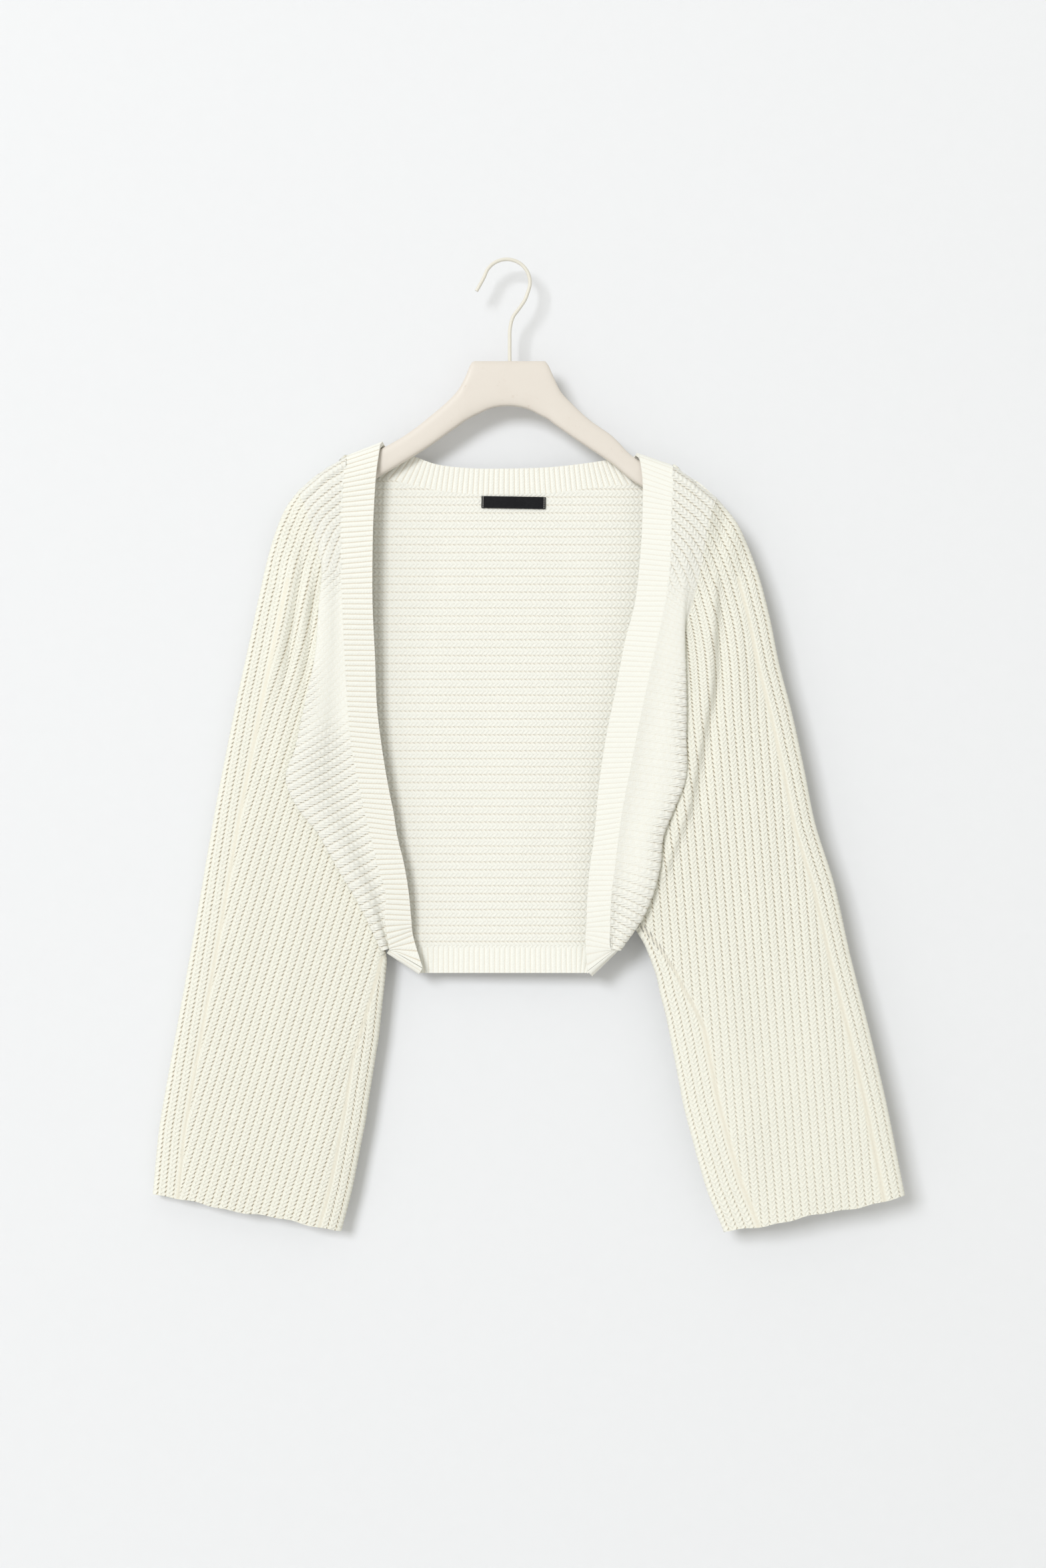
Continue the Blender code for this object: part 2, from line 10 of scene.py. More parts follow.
import bpy
import numpy as np
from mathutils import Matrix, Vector


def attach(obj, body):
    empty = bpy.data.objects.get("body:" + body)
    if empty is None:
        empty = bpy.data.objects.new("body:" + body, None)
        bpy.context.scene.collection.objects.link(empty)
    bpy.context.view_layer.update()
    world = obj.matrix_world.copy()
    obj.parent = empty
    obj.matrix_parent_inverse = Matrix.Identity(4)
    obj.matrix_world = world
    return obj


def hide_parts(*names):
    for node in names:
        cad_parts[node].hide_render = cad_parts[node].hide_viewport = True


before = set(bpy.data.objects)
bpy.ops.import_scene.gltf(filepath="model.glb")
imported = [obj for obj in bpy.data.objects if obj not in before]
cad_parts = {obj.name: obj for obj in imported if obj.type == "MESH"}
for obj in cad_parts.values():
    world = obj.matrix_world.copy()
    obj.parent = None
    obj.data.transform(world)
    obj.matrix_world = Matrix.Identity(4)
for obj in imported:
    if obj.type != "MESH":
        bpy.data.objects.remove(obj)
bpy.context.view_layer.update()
print("pieces in the model:", sorted(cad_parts))

# %% [markdown]
# ## Sizes that belong to the yarn
# A chunky half-cardigan knit shows ribs about 7.4 mm apart, and each stitch is about 4.1 mm long. The
# bands are knitted on finer needles. All lengths here are millimetres, because a knitter thinks in
# them, and `MM` turns them into Blender's metres at the last moment.

# %% The gauge of the knitting
MM = 0.001
CLOTH = 3.0
RIB = 7.4
STITCH = 4.1
BAND_RIB = 4.7
BAND_STITCH = 2.6
RELIEF = 0.5
BAND_RELIEF = 0.75
SLEEVE_SQUARENESS = 3.2
SHOULDER_ROUND = 11.0
TOUCH = 0.15            # half the gap between two pieces that meet on top of the shoulder
BAND_TUCK = 1.2         # how far a front reaches under its band
LEFT, RIGHT = -1, 1
print("ribs in a hand's width:", round(100 / RIB, 1))

# %% [markdown]
# ## Curves through a few rows
# The shape of a garment needs only a few measured rows. A cubic curve that passes through each row gives
# the smooth line that cloth takes between them. It is the same idea as a Catmull-Rom spline, but the
# rows may be unevenly spaced.


# %% A smooth curve through rows of numbers
def smooth(knots, values, at):
    """Values at the places `at`, on a smooth curve through values[i] at knots[i]."""
    knots = np.asarray(knots, float)
    values = np.asarray(values, float)
    if values.ndim == 1:
        return smooth(knots, values[:, None], at)[:, 0]
    gaps = np.diff(knots)
    rates = np.diff(values, axis=0) / gaps[:, None]
    slopes = np.empty_like(values)
    slopes[0], slopes[-1] = rates[0], rates[-1]
    before, after = gaps[:-1, None], gaps[1:, None]
    slopes[1:-1] = (rates[:-1] * after + rates[1:] * before) / (before + after)
    at = np.clip(np.asarray(at, float), knots[0], knots[-1])
    i = np.clip(np.searchsorted(knots, at, side="right") - 1, 0, len(gaps) - 1)
    h = gaps[i][:, None]
    t = (at - knots[i])[:, None] / h
    return ((1 + 2 * t) * (1 - t) ** 2 * values[i] + t * (1 - t) ** 2 * h * slopes[i]
            + t ** 2 * (3 - 2 * t) * values[i + 1] + t ** 2 * (t - 1) * h * slopes[i + 1])


def lengths_along(points):
    return np.concatenate([[0.0], np.cumsum(np.linalg.norm(np.diff(points, axis=0), axis=1))])


def spread(points, count):
    """`count` points evenly along a smooth curve through points."""
    run = lengths_along(points)
    return smooth(run, points, np.linspace(0.0, run[-1], count))


def ease(low, high, value):
    """0 below low, 1 above high, and a smooth step between."""
    t = np.clip((np.asarray(value, float) - low) / (high - low), 0.0, 1.0)
    return t * t * (3 - 2 * t)


# %% [markdown]
# ## From a grid of points to a thin sheet
# Every cloth piece is a grid: rows one way, columns the other. The grid is thickened along its own
# normals, and the ribs are added on its face, and on its back face too unless that lies hidden inside,
# so they are real shape and catch the light from any side.
# Two numbers ride along on each point as a UV map called "knit": which rib it is on, and how many
# stitches along. The material reads them to draw each stitch in place, however the cloth turns. A third
# number, "openness", says how far the stitches are pulled open there.


# %% Sheets with ribs
def grid_normals(grid, closed):
    if closed:
        along = np.roll(grid, -1, axis=1) - np.roll(grid, 1, axis=1)
    else:
        along = np.gradient(grid, axis=1)
    down = np.gradient(grid, axis=0)
    normals = np.cross(down, along)
    return normals / np.maximum(np.linalg.norm(normals, axis=2, keepdims=True), 1e-9)


def rib_height(rib, depth):
    """How far the surface stands up, from its mean, for a place counted in ribs."""
    crest = 0.5 + 0.5 * np.cos(2 * math.pi * rib)
    return depth * (crest ** 0.75 - 0.6)


def grid_faces(rows, columns, offset, closed):
    """Corner numbers of the quads of a grid whose points are numbered row by row."""
    last = columns if closed else columns - 1
    i, j = np.meshgrid(np.arange(rows - 1), np.arange(last), indexing="ij")
    k = (j + 1) % columns
    quads = np.stack([i * columns + j, i * columns + k, (i + 1) * columns + k, (i + 1) * columns + j], -1)
    return quads.reshape(-1, 4) + offset


def rim_faces(face, back, flip):
    """Faces that join two rows of point numbers; the face may have two steps for each of the back's."""
    if len(face) == len(back):
        faces = [np.stack([face[:-1], face[1:], back[1:], back[:-1]], -1)]
    else:
        first, middle, last = face[:-1:2], face[1::2], face[2::2]
        faces = [np.stack([middle, last, back[1:], back[:-1]], -1), np.stack([first, middle, back[:-1]], -1)]
    return [f[:, ::-1] if flip else f for f in faces]


def make_mesh(name, points, faces, material, uv=None, openness=None):
    """A mesh object from points in millimetres and arrays of faces, each array with its own corner count."""
    mesh = bpy.data.meshes.new(name)
    corners = np.concatenate([f.ravel() for f in faces]).astype(np.int32)
    starts = np.cumsum([0] + [f.shape[1] for f in faces for _ in range(len(f))])[:-1]
    mesh.vertices.add(len(points))
    mesh.vertices.foreach_set("co", (points * MM).astype(np.float32).ravel())
    mesh.loops.add(len(corners))
    mesh.loops.foreach_set("vertex_index", corners)
    mesh.polygons.add(len(starts))
    mesh.polygons.foreach_set("loop_start", starts.astype(np.int32))
    mesh.update(calc_edges=True)
    if uv is not None:
        layer = mesh.uv_layers.new(name="knit")
        layer.data.foreach_set("uv", uv[corners].astype(np.float32).ravel())
        slack = mesh.attributes.new("openness", "FLOAT", "POINT")
        slack.data.foreach_set("value", openness.astype(np.float32).ravel())
    mesh.validate()
    mesh.shade_smooth()
    mesh.set_sharp_from_angle(angle=math.radians(55))
    mesh.materials.append(material)
    thing = bpy.data.objects.new(name, mesh)
    bpy.context.scene.collection.objects.link(thing)
    triangles = sum(len(f) * (f.shape[1] - 2) for f in faces)
    print(f"{name}: {triangles} triangles")
    return thing


def cloth_sheet(name, grid, rib, stitch, depth, material, closed=False, lining=1, openness=1.0):
    """A sheet of cloth round `grid`, with ribs on its face. lining=1 gives the back face its ribs too;
    lining=2 makes it with half the rows and columns, for a face that lies hidden inside. openness says
    how far the stitches are pulled open: 0 is dense and smooth, 1 shows every hole."""
    rows, columns = grid.shape[:2]
    depth = np.broadcast_to(depth, rib.shape)
    openness = np.broadcast_to(openness, rib.shape)
    normals = grid_normals(grid, closed)
    face = grid + normals * (CLOTH / 2 + rib_height(rib, depth))[..., None]
    inside = rib_height(rib + 0.5, depth) if lining == 1 else np.zeros_like(rib)
    back = (grid - normals * (CLOTH / 2 + inside)[..., None])[::lining, ::lining]
    total = rows * columns
    front_number = np.arange(total).reshape(rows, columns)
    back_number = total + np.arange(back.shape[0] * back.shape[1]).reshape(back.shape[:2])
    faces = [grid_faces(rows, columns, 0, closed)[:, ::-1], grid_faces(*back.shape[:2], total, closed)]
    for i, flip in ((0, False), (-1, True)):
        one, two = front_number[i], back_number[i]
        if closed:
            one, two = np.append(one, one[0]), np.append(two, two[0])
        faces.extend(rim_faces(one, two, flip))
    if not closed:
        for j, flip in ((0, True), (-1, False)):
            faces.extend(rim_faces(front_number[:, j], back_number[:, j], flip))
    points = np.concatenate([face.reshape(-1, 3), back.reshape(-1, 3)])
    one = np.stack([rib, stitch], -1)
    two = (one + (0.5, 0.0))[::lining, ::lining]
    uv = np.concatenate([one.reshape(-1, 2), two.reshape(-1, 2)])
    slack = np.concatenate([openness.ravel(), openness[::lining, ::lining].ravel()])
    return make_mesh(name, points, faces, material, uv, slack)


# %% [markdown]
# ## The measured rows
# These rows say where each piece hangs, just as a pattern cutter notes it: `out` is the distance from
# the middle towards the piece's own side, and heights are counted from the inside top of the hook. The
# fronts have four lines that matter: the sewn edge of the band, the outer fold of the loose flap, the
# line where the sleeve takes over, and how far in front of the hanger each layer lies.

# %% Rows of the two fronts
# seam out and z, fold out and z, armhole out and z, y of the top layer, y of the low layer, how folded
FRONT_ROWS = {
    LEFT: [
        (147, -179, 172, -194, 192, -211, 0.0, 0.0, 0.0),
        (149, -182, 173, -198, 190.5, -214.5, -7.0, -6.5, 0.0),
        (151, -192, 173, -207, 187, -224, -10.0, -9.5, 0.0),
        (154, -235, 171, -244, 178, -252, -11.5, -9.0, 0.0),
        (154, -275, 170, -275, 173, -276, -12.5, -7.5, 0.2),
        (153, -315, 173, -315, 168, -318, -13.5, -5.0, 0.9),
        (151, -362, 176, -360, 162, -362, -13.5, -4.5, 1.0),
        (148, -410, 186, -408, 156, -410, -13.5, -4.5, 1.0),
        (144, -448, 194, -445, 151, -448, -13.5, -4.5, 1.0),
        (137, -485, 202, -479, 147, -484, -13.5, -4.5, 1.0),
        (133, -503, 192, -501, 144, -503, -13.5, -4.5, 1.0),
        (128, -522, 176, -521, 141, -521, -13.5, -4.5, 1.0),
        (120, -556, 156, -556, 134, -556, -13.5, -4.5, 1.0),
        (113, -580, 140, -582, 125, -584, -12.5, -4.0, 1.0),
        (114, -602, 128.5, -604, 119, -606, -11.5, -3.0, 1.0),
        (110, -629.5, 117, -631, 116, -627, -9.0, -1.5, 1.0),
    ],
    RIGHT: [
        (148, -188, 170, -203, 188, -218, 0.0, 0.0, 0.0),
        (149, -191, 170, -206.5, 187, -221.5, -7.0, -6.5, 0.0),
        (149, -201, 170, -214, 184, -230, -10.0, -9.5, 0.0),
        (148, -240, 166, -250, 178, -262, -11.5, -9.0, 0.0),
        (147, -275, 162, -285, 172, -296, -12.5, -8.5, 0.0),
        (142, -315, 160, -318, 165, -322, -13.0, -7.5, 0.2),
        (134, -352, 159, -350, 156, -355, -13.5, -5.0, 0.9),
        (125, -392, 160, -392, 150, -394, -13.5, -4.5, 1.0),
        (116, -436, 160, -436, 145, -436, -13.5, -4.5, 1.0),
        (107, -482, 158, -480, 139, -480, -13.5, -4.5, 1.0),
        (103, -503, 149, -502, 135, -502, -13.5, -4.5, 1.0),
        (100, -524, 140, -524, 131, -524, -13.5, -4.5, 1.0),
        (96, -556, 136, -556, 126, -556, -13.5, -4.5, 1.0),
        (93, -580, 130, -579, 120, -580, -13.0, -4.0, 1.0),
        (92, -603, 120, -603, 113, -600, -12.0, -3.5, 1.0),
        (93, -630, 101.5, -631, 100, -630, -9.0, -1.5, 0.6),
    ],
}
ARMHOLE_ROWS = {LEFT: 16, RIGHT: 15}
LIP = 6.0

# %% Rows of the bands
# out and z of the free edge, one for each row of the front
BAND_EDGE = {
    LEFT: [(116, -167), (118, -171), (120, -183), (124, -233), (125, -272), (125, -315), (123, -362),
           (121, -411), (116, -451), (110, -486), (106, -506), (103, -525), (96, -555), (92, -581),
           (90, -603), (87, -624)],
    RIGHT: [(116, -177), (118, -180), (120, -190), (121, -238), (119, -272), (114, -315), (105, -350),
            (97, -392), (88, -436), (81, -484), (79, -506), (77, -528), (73, -556), (71, -581),
            (70, -606), (69.5, -629)],
}
BAND_FOOT = {LEFT: (109.5, -629.5, 79.5, -647.5, -7.0), RIGHT: (97.5, -629, 71, -650, -7.0)}
# x and z of the free edge, x and z of the seam, y
NECK_ROWS = [
    (-116, -167, -147, -179, 0.0), (-114, -170, -144.5, -183, 6.5), (-107, -174, -135, -191, 9.5),
    (-87, -178.5, -100, -201.5, 9.8), (-68, -185, -73, -208, 9.8), (-40, -188.5, -42, -212, 9.8),
    (0, -189, 0, -213, 9.8), (40, -187.5, 42, -211, 9.8), (71, -184, 75, -207, 9.8),
    (92, -181, 103, -204, 9.8), (109, -180, 136, -200, 9.5), (114.5, -178.5, 145.5, -192, 6.5),
    (116, -177, 148, -188, 0.0),
]
HEM_SEAM_Z = -629.5
HEM_FREE_Z = -653.0
HEM_Y = 4.5

# %% Rows of the sleeves, from just past the armhole to the cuff
# outer edge out and z, inner edge out and z, depth, y of the middle
SLEEVE_RINGS = {
    LEFT: [
        (202, -224, 114.5, -640, 15, 3.0), (211, -243, 116, -658, 15, 3.0), (220, -270, 118, -676, 15, 3.0),
        (228, -305, 120, -694, 15, 3.0), (238, -352, 122, -712, 15, 3.0), (249, -402, 125, -731, 15, 3.0),
        (259, -452, 128, -750, 15, 3.0), (269, -504, 131, -769, 15, 3.0), (278, -556, 134, -789, 15, 3.0),
        (288, -615, 138, -809, 15, 3.0), (299, -676, 142, -830, 15, 3.0), (310, -737, 146, -850, 15, 2.5),
        (320, -795, 151, -870, 14, 2.5), (326, -855, 156, -888, 14, 2.0),
    ],
    RIGHT: [
        (197, -228, 117, -612, 15, 3.0), (207, -241, 124, -624, 15, 3.0), (217, -261, 130, -638, 15, 3.0),
        (227, -288, 136, -655, 15, 3.0), (237, -326, 140, -673, 15, 3.0), (246, -370, 145, -692, 15, 3.0),
        (257, -412, 149, -712, 15, 3.0), (268, -462, 153, -732, 15, 3.0), (279, -516, 157, -753, 15, 3.0),
        (296, -570, 161, -774, 15, 3.0), (311, -636, 167, -797, 15, 3.0), (328, -703, 174, -823, 15, 2.5),
        (344, -771, 183, -853, 14, 2.5), (361, -858, 198, -890, 14, 2.0),
    ],
}


print("the left sleeve has", len(SLEEVE_RINGS[LEFT]), "rings")

# %% [markdown]
# ## Which way the ribs run
# The shrug is knitted sideways, from cuff to cuff. So the ribs lie level across the back, run over the
# shoulders, and follow the arms down to the cuffs. At both edges of a sleeve a few ribs keep to the
# edge, and the ones between them end against these, where stitches were knitted together to narrow it.
# A rib is a line where one number stays the same, so all of this is a field: for any place on the cloth
# it says which rib and which stitch that is.


# %% The rib fields
def near_line(out, z, line):
    """Distance from a line of points."""
    line = np.asarray(line, float)
    spot = np.stack([out.ravel(), z.ravel()], -1)
    best = np.full(len(spot), np.inf)
    for a, b in zip(line[:-1], line[1:]):
        span = b - a
        t = np.clip((spot - a) @ span / (span @ span), 0.0, 1.0)
        best = np.minimum(best, np.linalg.norm(spot - a - t[:, None] * span, axis=1))
    return best.reshape(out.shape)


SLEEVE_KNIT = {         # lean of the middle ribs in degrees, and how wide the ribs along the edges lie
    LEFT: {"lean": 17.5, "outer_strip": 22.5, "inner_strip": 18.5, "start": (233, -330)},
    RIGHT: {"lean": 5.0, "outer_strip": 18.5, "inner_strip": 30.0, "start": (238, -330)},
}


def outer_line(side):
    shoulder = [(row[2], row[3]) for row in FRONT_ROWS[side][:1]]
    first, tip = FRONT_ROWS[side][0][:2], FRONT_ROWS[side][0][4:6]
    return [first] + shoulder + [tip] + [ring[:2] for ring in SLEEVE_RINGS[side]]


def inner_line(side):
    return [ring[2:4] for ring in SLEEVE_RINGS[side]]


def sleeve_field(side, x, z, with_strips=False):
    """Ribs and stitches of a sleeve and its shoulder. with_strips also gives how far the place is from
    the lines where the ribs of the two edge strips begin."""
    knit = SLEEVE_KNIT[side]
    out = side * x
    edge = near_line(out, z, outer_line(side))
    lean = math.radians(knit["lean"])
    out0, z0 = knit["start"]
    turn = 1 - ease(-420, -290, z)
    middle_rib = (-(out - out0) * math.cos(lean) - (z - z0) * math.sin(lean)) / RIB
    middle_stitch = ((out - out0) * math.sin(lean) - (z - z0) * math.cos(lean)) / STITCH
    shoulder_stitch = ((out - out0) * 0.5 - (z - z0) * 0.87) / STITCH
    rib = edge / RIB * (1 - turn) + middle_rib * turn
    stitch = shoulder_stitch * (1 - turn) + middle_stitch * turn
    at_edge = (edge < knit["outer_strip"]) & (z < -300)
    rib = np.where(at_edge, edge / RIB, rib)
    inner = near_line(out, z, inner_line(side))
    widening = np.clip((inner_line(side)[0][1] + 20 - z) / 110, 0.0, 1.0)
    inner_width = knit["inner_strip"] * widening
    rib = np.where(inner < inner_width, inner / RIB, rib)
    if with_strips:
        to_outer = np.where(z < -290, np.abs(edge - knit["outer_strip"]), 99.0)
        return rib, stitch, np.minimum(to_outer, np.abs(inner - inner_width))
    return rib, stitch


FLAP_RIB = {LEFT: 7.8, RIGHT: 7.4}
FLAP_TOP = {LEFT: -285.0, RIGHT: -300.0}
FLAP_SLOPE = {      # height, and the angle of the ribs from upright there
    LEFT: [(-285, 30), (-340, 32), (-370, 38), (-405, 48), (-435, 56), (-465, 61), (-500, 64), (-625, 64)],
    RIGHT: [(-300, 50), (-350, 68), (-400, 78), (-480, 82), (-540, 80), (-580, 72), (-620, 60)],
}


def flap_rib(side, reach, z):
    heights, angles = zip(*reversed(FLAP_SLOPE[side]))
    return -(z + reach / np.tan(np.radians(np.interp(z, heights, angles)))) / FLAP_RIB[side]


def flap_field(side, x, z, seam_out):
    """Ribs that leave the band's seam and slope down across the loose flap."""
    reach = side * x - seam_out
    top = FLAP_TOP[side]
    level = np.full_like(z, top)
    shoulder_rib, shoulder_stitch = sleeve_field(side, x, level)
    step_over = shoulder_rib - flap_rib(side, reach, level)
    usual = step_over[:, :1].mean()
    rib = flap_rib(side, reach, z) + usual + (step_over - usual) * ease(top - 110, top, z)
    stitch = shoulder_stitch + (top - z) / STITCH
    upper_rib, upper_stitch = sleeve_field(side, x, z)
    above = z > top
    return np.where(above, upper_rib, rib), np.where(above, upper_stitch, stitch)


# %% [markdown]
# ## The fronts
# Each front is one sheet that runs out from the band, doubles back under itself in a deep soft fold, and
# comes out again as the front of the sleeve. That fold is the most telling shape of this garment, so it
# is built, and not painted: at every height a short curve goes out, round, back and out again.


# %% Front surfaces
ARM_TUCK = 0.8      # how far a front reaches under the edge of its sleeve
FOLD_REACH = 13.0   # how far from the fold its stitches are pulled open
FLAP_WAVE = {LEFT: 2.4, RIGHT: 1.2}      # the flap dips beside the band and swells towards its fold


def front_section(row, wave):
    seam_out, seam_z, fold_out, fold_z, arm_out, arm_z, top, low, fold = row
    seam_out -= BAND_TUCK
    wave *= 1 - 0.7 * float(ease(-450, -370, seam_z))
    r = max((low - top) / 4, 0.01)
    middle = (low + top) / 2
    valley = arm_out - LIP
    turn = 0.71 * r
    folded = [(fold_out - r, top), (fold_out - r + turn, top + r - turn), (fold_out, top + r),
              (fold_out - r + turn, middle - r + turn), (fold_out - r, middle),
              (valley + r, middle), (valley + r - turn, middle + r - turn), (valley, middle + r),
              (valley + r - turn, low - r + turn), (valley + r, low)]
    points = [(seam_out + (fold_out - r - seam_out) * t, top + wave * fold * math.sin(2 * math.pi * t),
               seam_z + (fold_z - seam_z) * t) for t in (0.0, 0.2, 0.4, 0.6, 0.8)]
    for k, (out, y) in enumerate(folded):
        t = (k + 1) / (len(folded) + 1)
        flat_out = fold_out - 2 + (arm_out - fold_out + 2) * t
        points.append((flat_out + (out - flat_out) * fold, top + (low - top) * t + (y - top - (low - top) * t)
                       * fold, fold_z + (arm_z - fold_z) * t))
    points.append((arm_out + ARM_TUCK, low + 0.4, arm_z))
    return np.array(points)


def front_rows(side, count):
    """Rows spaced evenly over the cloth, so there are enough of them where it turns over the shoulder."""
    rows = np.array(FRONT_ROWS[side], float)
    heights = -rows[:, 1]
    fine = np.linspace(heights[0], heights[-1], 2000)
    run = lengths_along(smooth(heights, rows[:, [0, 1, 6]], fine))
    return smooth(heights, rows, np.interp(np.linspace(0.0, run[-1], count), run, fine))


def front_openness(side, z):
    """Open stitches over the shoulder, dense ones beside the band, and open again where it bunches."""
    shoulder = ease(-330, -250, z)
    foot = 1 - ease(-470, -400, z) if side == LEFT else 0.7 - 0.7 * ease(-600, -540, z)
    return np.clip(0.2 + 0.8 * shoulder + 0.7 * foot, 0.0, 1.0)


def build_front(side, name, material, rows=361, columns=69):
    lines = []
    for row in front_rows(side, rows):
        lines.append(spread(front_section(row, FLAP_WAVE[side]), columns))
    grid = np.array(lines)
    seam_out = grid[:, :1, 0].copy()
    to_fold = grid[..., 0].max(axis=1, keepdims=True) - grid[..., 0]
    grid[..., 0] *= side
    x, z = grid[..., 0], grid[..., 2]
    rib, stitch = flap_field(side, x, z, seam_out)
    at_fold = np.exp(-(to_fold / FOLD_REACH) ** 2) * (1 - ease(-410, -330, z))
    openness = np.maximum(front_openness(side, z), 0.75 * at_fold)
    layers = [grid, rib, stitch, RELIEF * (0.15 + 0.85 * openness), openness]
    if side == LEFT:
        layers = [layer[:, ::-1] for layer in layers]
    return cloth_sheet(name, *layers[:4], material, lining=2, openness=layers[4])


# %% [markdown]
# ## The bands
# One long strip of fine rib goes round the whole opening. Its ribs stand square to its edge, like the
# teeth of a comb. Along the fronts the strip lies flat, and at each lower corner it doubles over on the
# slant and carries on behind as the hem, so there you see its other face.


# %% Band surfaces
def band_sheet(name, grid, material, fullness=1.0):
    """A strip of fine rib: rows run along the strip, columns run across it. fullness is how much its
    ribs stand up."""
    middle = grid[:, grid.shape[1] // 2]
    along = lengths_along(middle)[:, None] + np.zeros(grid.shape[:2])
    across = np.linalg.norm(grid - grid[:, :1], axis=2)
    edge = np.minimum(across, across[:, -1:] - across)
    depth = BAND_RELIEF * fullness * ease(-0.5, 2.5, edge)
    # fullness also goes in as openness, which sets how strongly the painted shade of furrows and holes is
    # laid on.
    return cloth_sheet(name, grid, along / BAND_RIB, across / BAND_STITCH, depth, material, openness=fullness)


def strip(first, second, rows, columns):
    """A grid between the two edges of a strip, with its rows evenly spaced along it."""
    knots = lengths_along((first + second) / 2)
    at = np.linspace(0.0, knots[-1], rows)
    t = np.linspace(0.0, 1.0, columns)[None, :, None]
    return smooth(knots, first, at)[:, None] * (1 - t) + smooth(knots, second, at)[:, None] * t


# FULLNESS also sets the strength of the painted shade on each front band, so the left band is painted darker
# than the right.
FULLNESS = {LEFT: 0.95, RIGHT: 0.4}      # how much the ribs of each front band stand up
BAND_TILT = {LEFT: 3.5, RIGHT: 0.0}      # how far a band's free edge leans back
TILT_ENDS = (-390, -240)                 # the heights between which it starts to lean


def build_front_band(side, name, material, rows=561, columns=17):
    table = np.array(FRONT_ROWS[side], float)
    edge = np.array(BAND_EDGE[side], float)
    foot = BAND_FOOT[side]
    seam = np.array([(row[0], min(row[6], -TOUCH), row[1]) for row in table] + [(foot[0], foot[4], foot[1])])
    tilt = BAND_TILT[side] * (1 - ease(*TILT_ENDS, table[:, 1]))
    free = np.array([(e[0], min(row[6] + lean, -TOUCH), e[1]) for row, e, lean in zip(table, edge, tilt)]
                    + [(foot[2], foot[4], foot[3])])
    grid = strip(seam, free, rows, columns)
    grid[..., 0] *= side
    return band_sheet(name, grid, material, FULLNESS[side])


def build_neck_band(material, rows=431, columns=17):
    table = np.array(NECK_ROWS, float)
    y = np.maximum(table[:, 4], TOUCH)
    ease_in = np.where(np.abs(table[:, 2]) > 120, np.sign(table[:, 2]) * 0.8, 0.0)
    free = np.stack([table[:, 0], y, table[:, 1]], -1)
    seam = np.stack([table[:, 2] - ease_in, y, table[:, 3]], -1)
    return band_sheet("neck_band_knit", strip(free, seam, rows, columns), material, 0.75)


HEM_PINCH = {LEFT: 0.75, RIGHT: 0.35}      # how round the turn is at its seam end, against its free end


def hem_turn(side, steps=7):
    """The slanting fold at one end of the hem: from in front, round the turn, to behind."""
    seam_out, seam_z, free_out, free_z, front_y = BAND_FOOT[side]
    seam = np.array([side * seam_out, 0.0, seam_z])
    free = np.array([side * free_out, 0.0, free_z])
    run = (free - seam) / np.linalg.norm(free - seam)
    outward = np.array([-run[2], 0.0, run[0]])
    outward *= -np.sign(outward[2])
    radius = (HEM_Y - front_y) / 2
    pairs = []
    for turn in np.linspace(0.0, math.pi, steps):
        reach = radius * math.sin(turn)
        y = (front_y + HEM_Y) / 2 - radius * math.cos(turn)
        pairs.append([seam + outward * (0.2 + HEM_PINCH[side] * reach) + (0, y, 0),
                      free + outward * (0.2 + reach) + (0, y, 0)])
    return pairs


def build_hem_band(material, rows=381, columns=17):
    pairs = hem_turn(LEFT)
    first, last = -BAND_FOOT[LEFT][0], BAND_FOOT[RIGHT][0]
    lean_left = BAND_FOOT[LEFT][0] - BAND_FOOT[LEFT][2]
    lean_right = BAND_FOOT[RIGHT][0] - BAND_FOOT[RIGHT][2]
    for t in (0.05, 0.1, 0.16, 0.25, 0.4, 0.6, 0.75, 0.84, 0.9, 0.95):
        lean = lean_left * max(1 - t / 0.2, 0.0) ** 2 - lean_right * max(1 - (1 - t) / 0.2, 0.0) ** 2
        x = first + (last - first) * t
        pairs.append([np.array([x, HEM_Y, HEM_SEAM_Z]), np.array([x + lean, HEM_Y, HEM_FREE_Z])])
    pairs.extend(reversed(hem_turn(RIGHT)))
    pairs = np.array(pairs)
    return band_sheet("hem_band_knit", strip(pairs[:, 0], pairs[:, 1], rows, columns), material, 0.5)


# %% [markdown]
# ## The sleeves
# A sleeve is a flattened tube. Its rings fan out from the armhole to the cuff, and each is a rounded
# flat shape, a superellipse: flatter than an oval, with soft edges where the knit turns. The front face
# of each sleeve then gets its own creases, as ridges and troughs with named ends and heights.

# %% Creases of the sleeves
# out and z of the start, out and z of the end, width towards the band, width away from it, height
SLEEVE_CREASES = {
    LEFT: [
        (196, -262, 214, -380, 8, 7, 3.4),
        (184, -285, 197, -385, 6, 5, 3.2),
        (212, -300, 226, -420, 10, 9, 1.5),
        (205, -395, 214, -470, 8, 8, 1.2),
        (232, -500, 246, -640, 16, 13, 0.8),
        (196, -560, 214, -760, 18, 16, 0.8),
        (160, -690, 178, -850, 14, 12, 0.9),
    ],
    RIGHT: [
        (187, -295, 183, -400, 12, 3.5, 4.4),
        (184, -385, 160, -511, 11, 3.5, 4.4),
        (162, -500, 139, -565, 8, 3.5, 3.2),
        (205, -300, 214, -420, 12, 9, 1.4),
        (222, -470, 236, -640, 16, 14, 0.9),
        (262, -560, 290, -760, 18, 15, 0.8),
        (196, -640, 226, -850, 16, 14, 0.9),
    ],
}
VALLEYS = {
    LEFT: [(190, -280, 205, -380, 4, 4, 2.4), (178, -300, 187, -390, 4, 4, 2.4)],
    RIGHT: [(194, -290, 191, -395, 5, 7, 2.2), (191, -390, 171, -511, 5, 7, 2.0)],
}


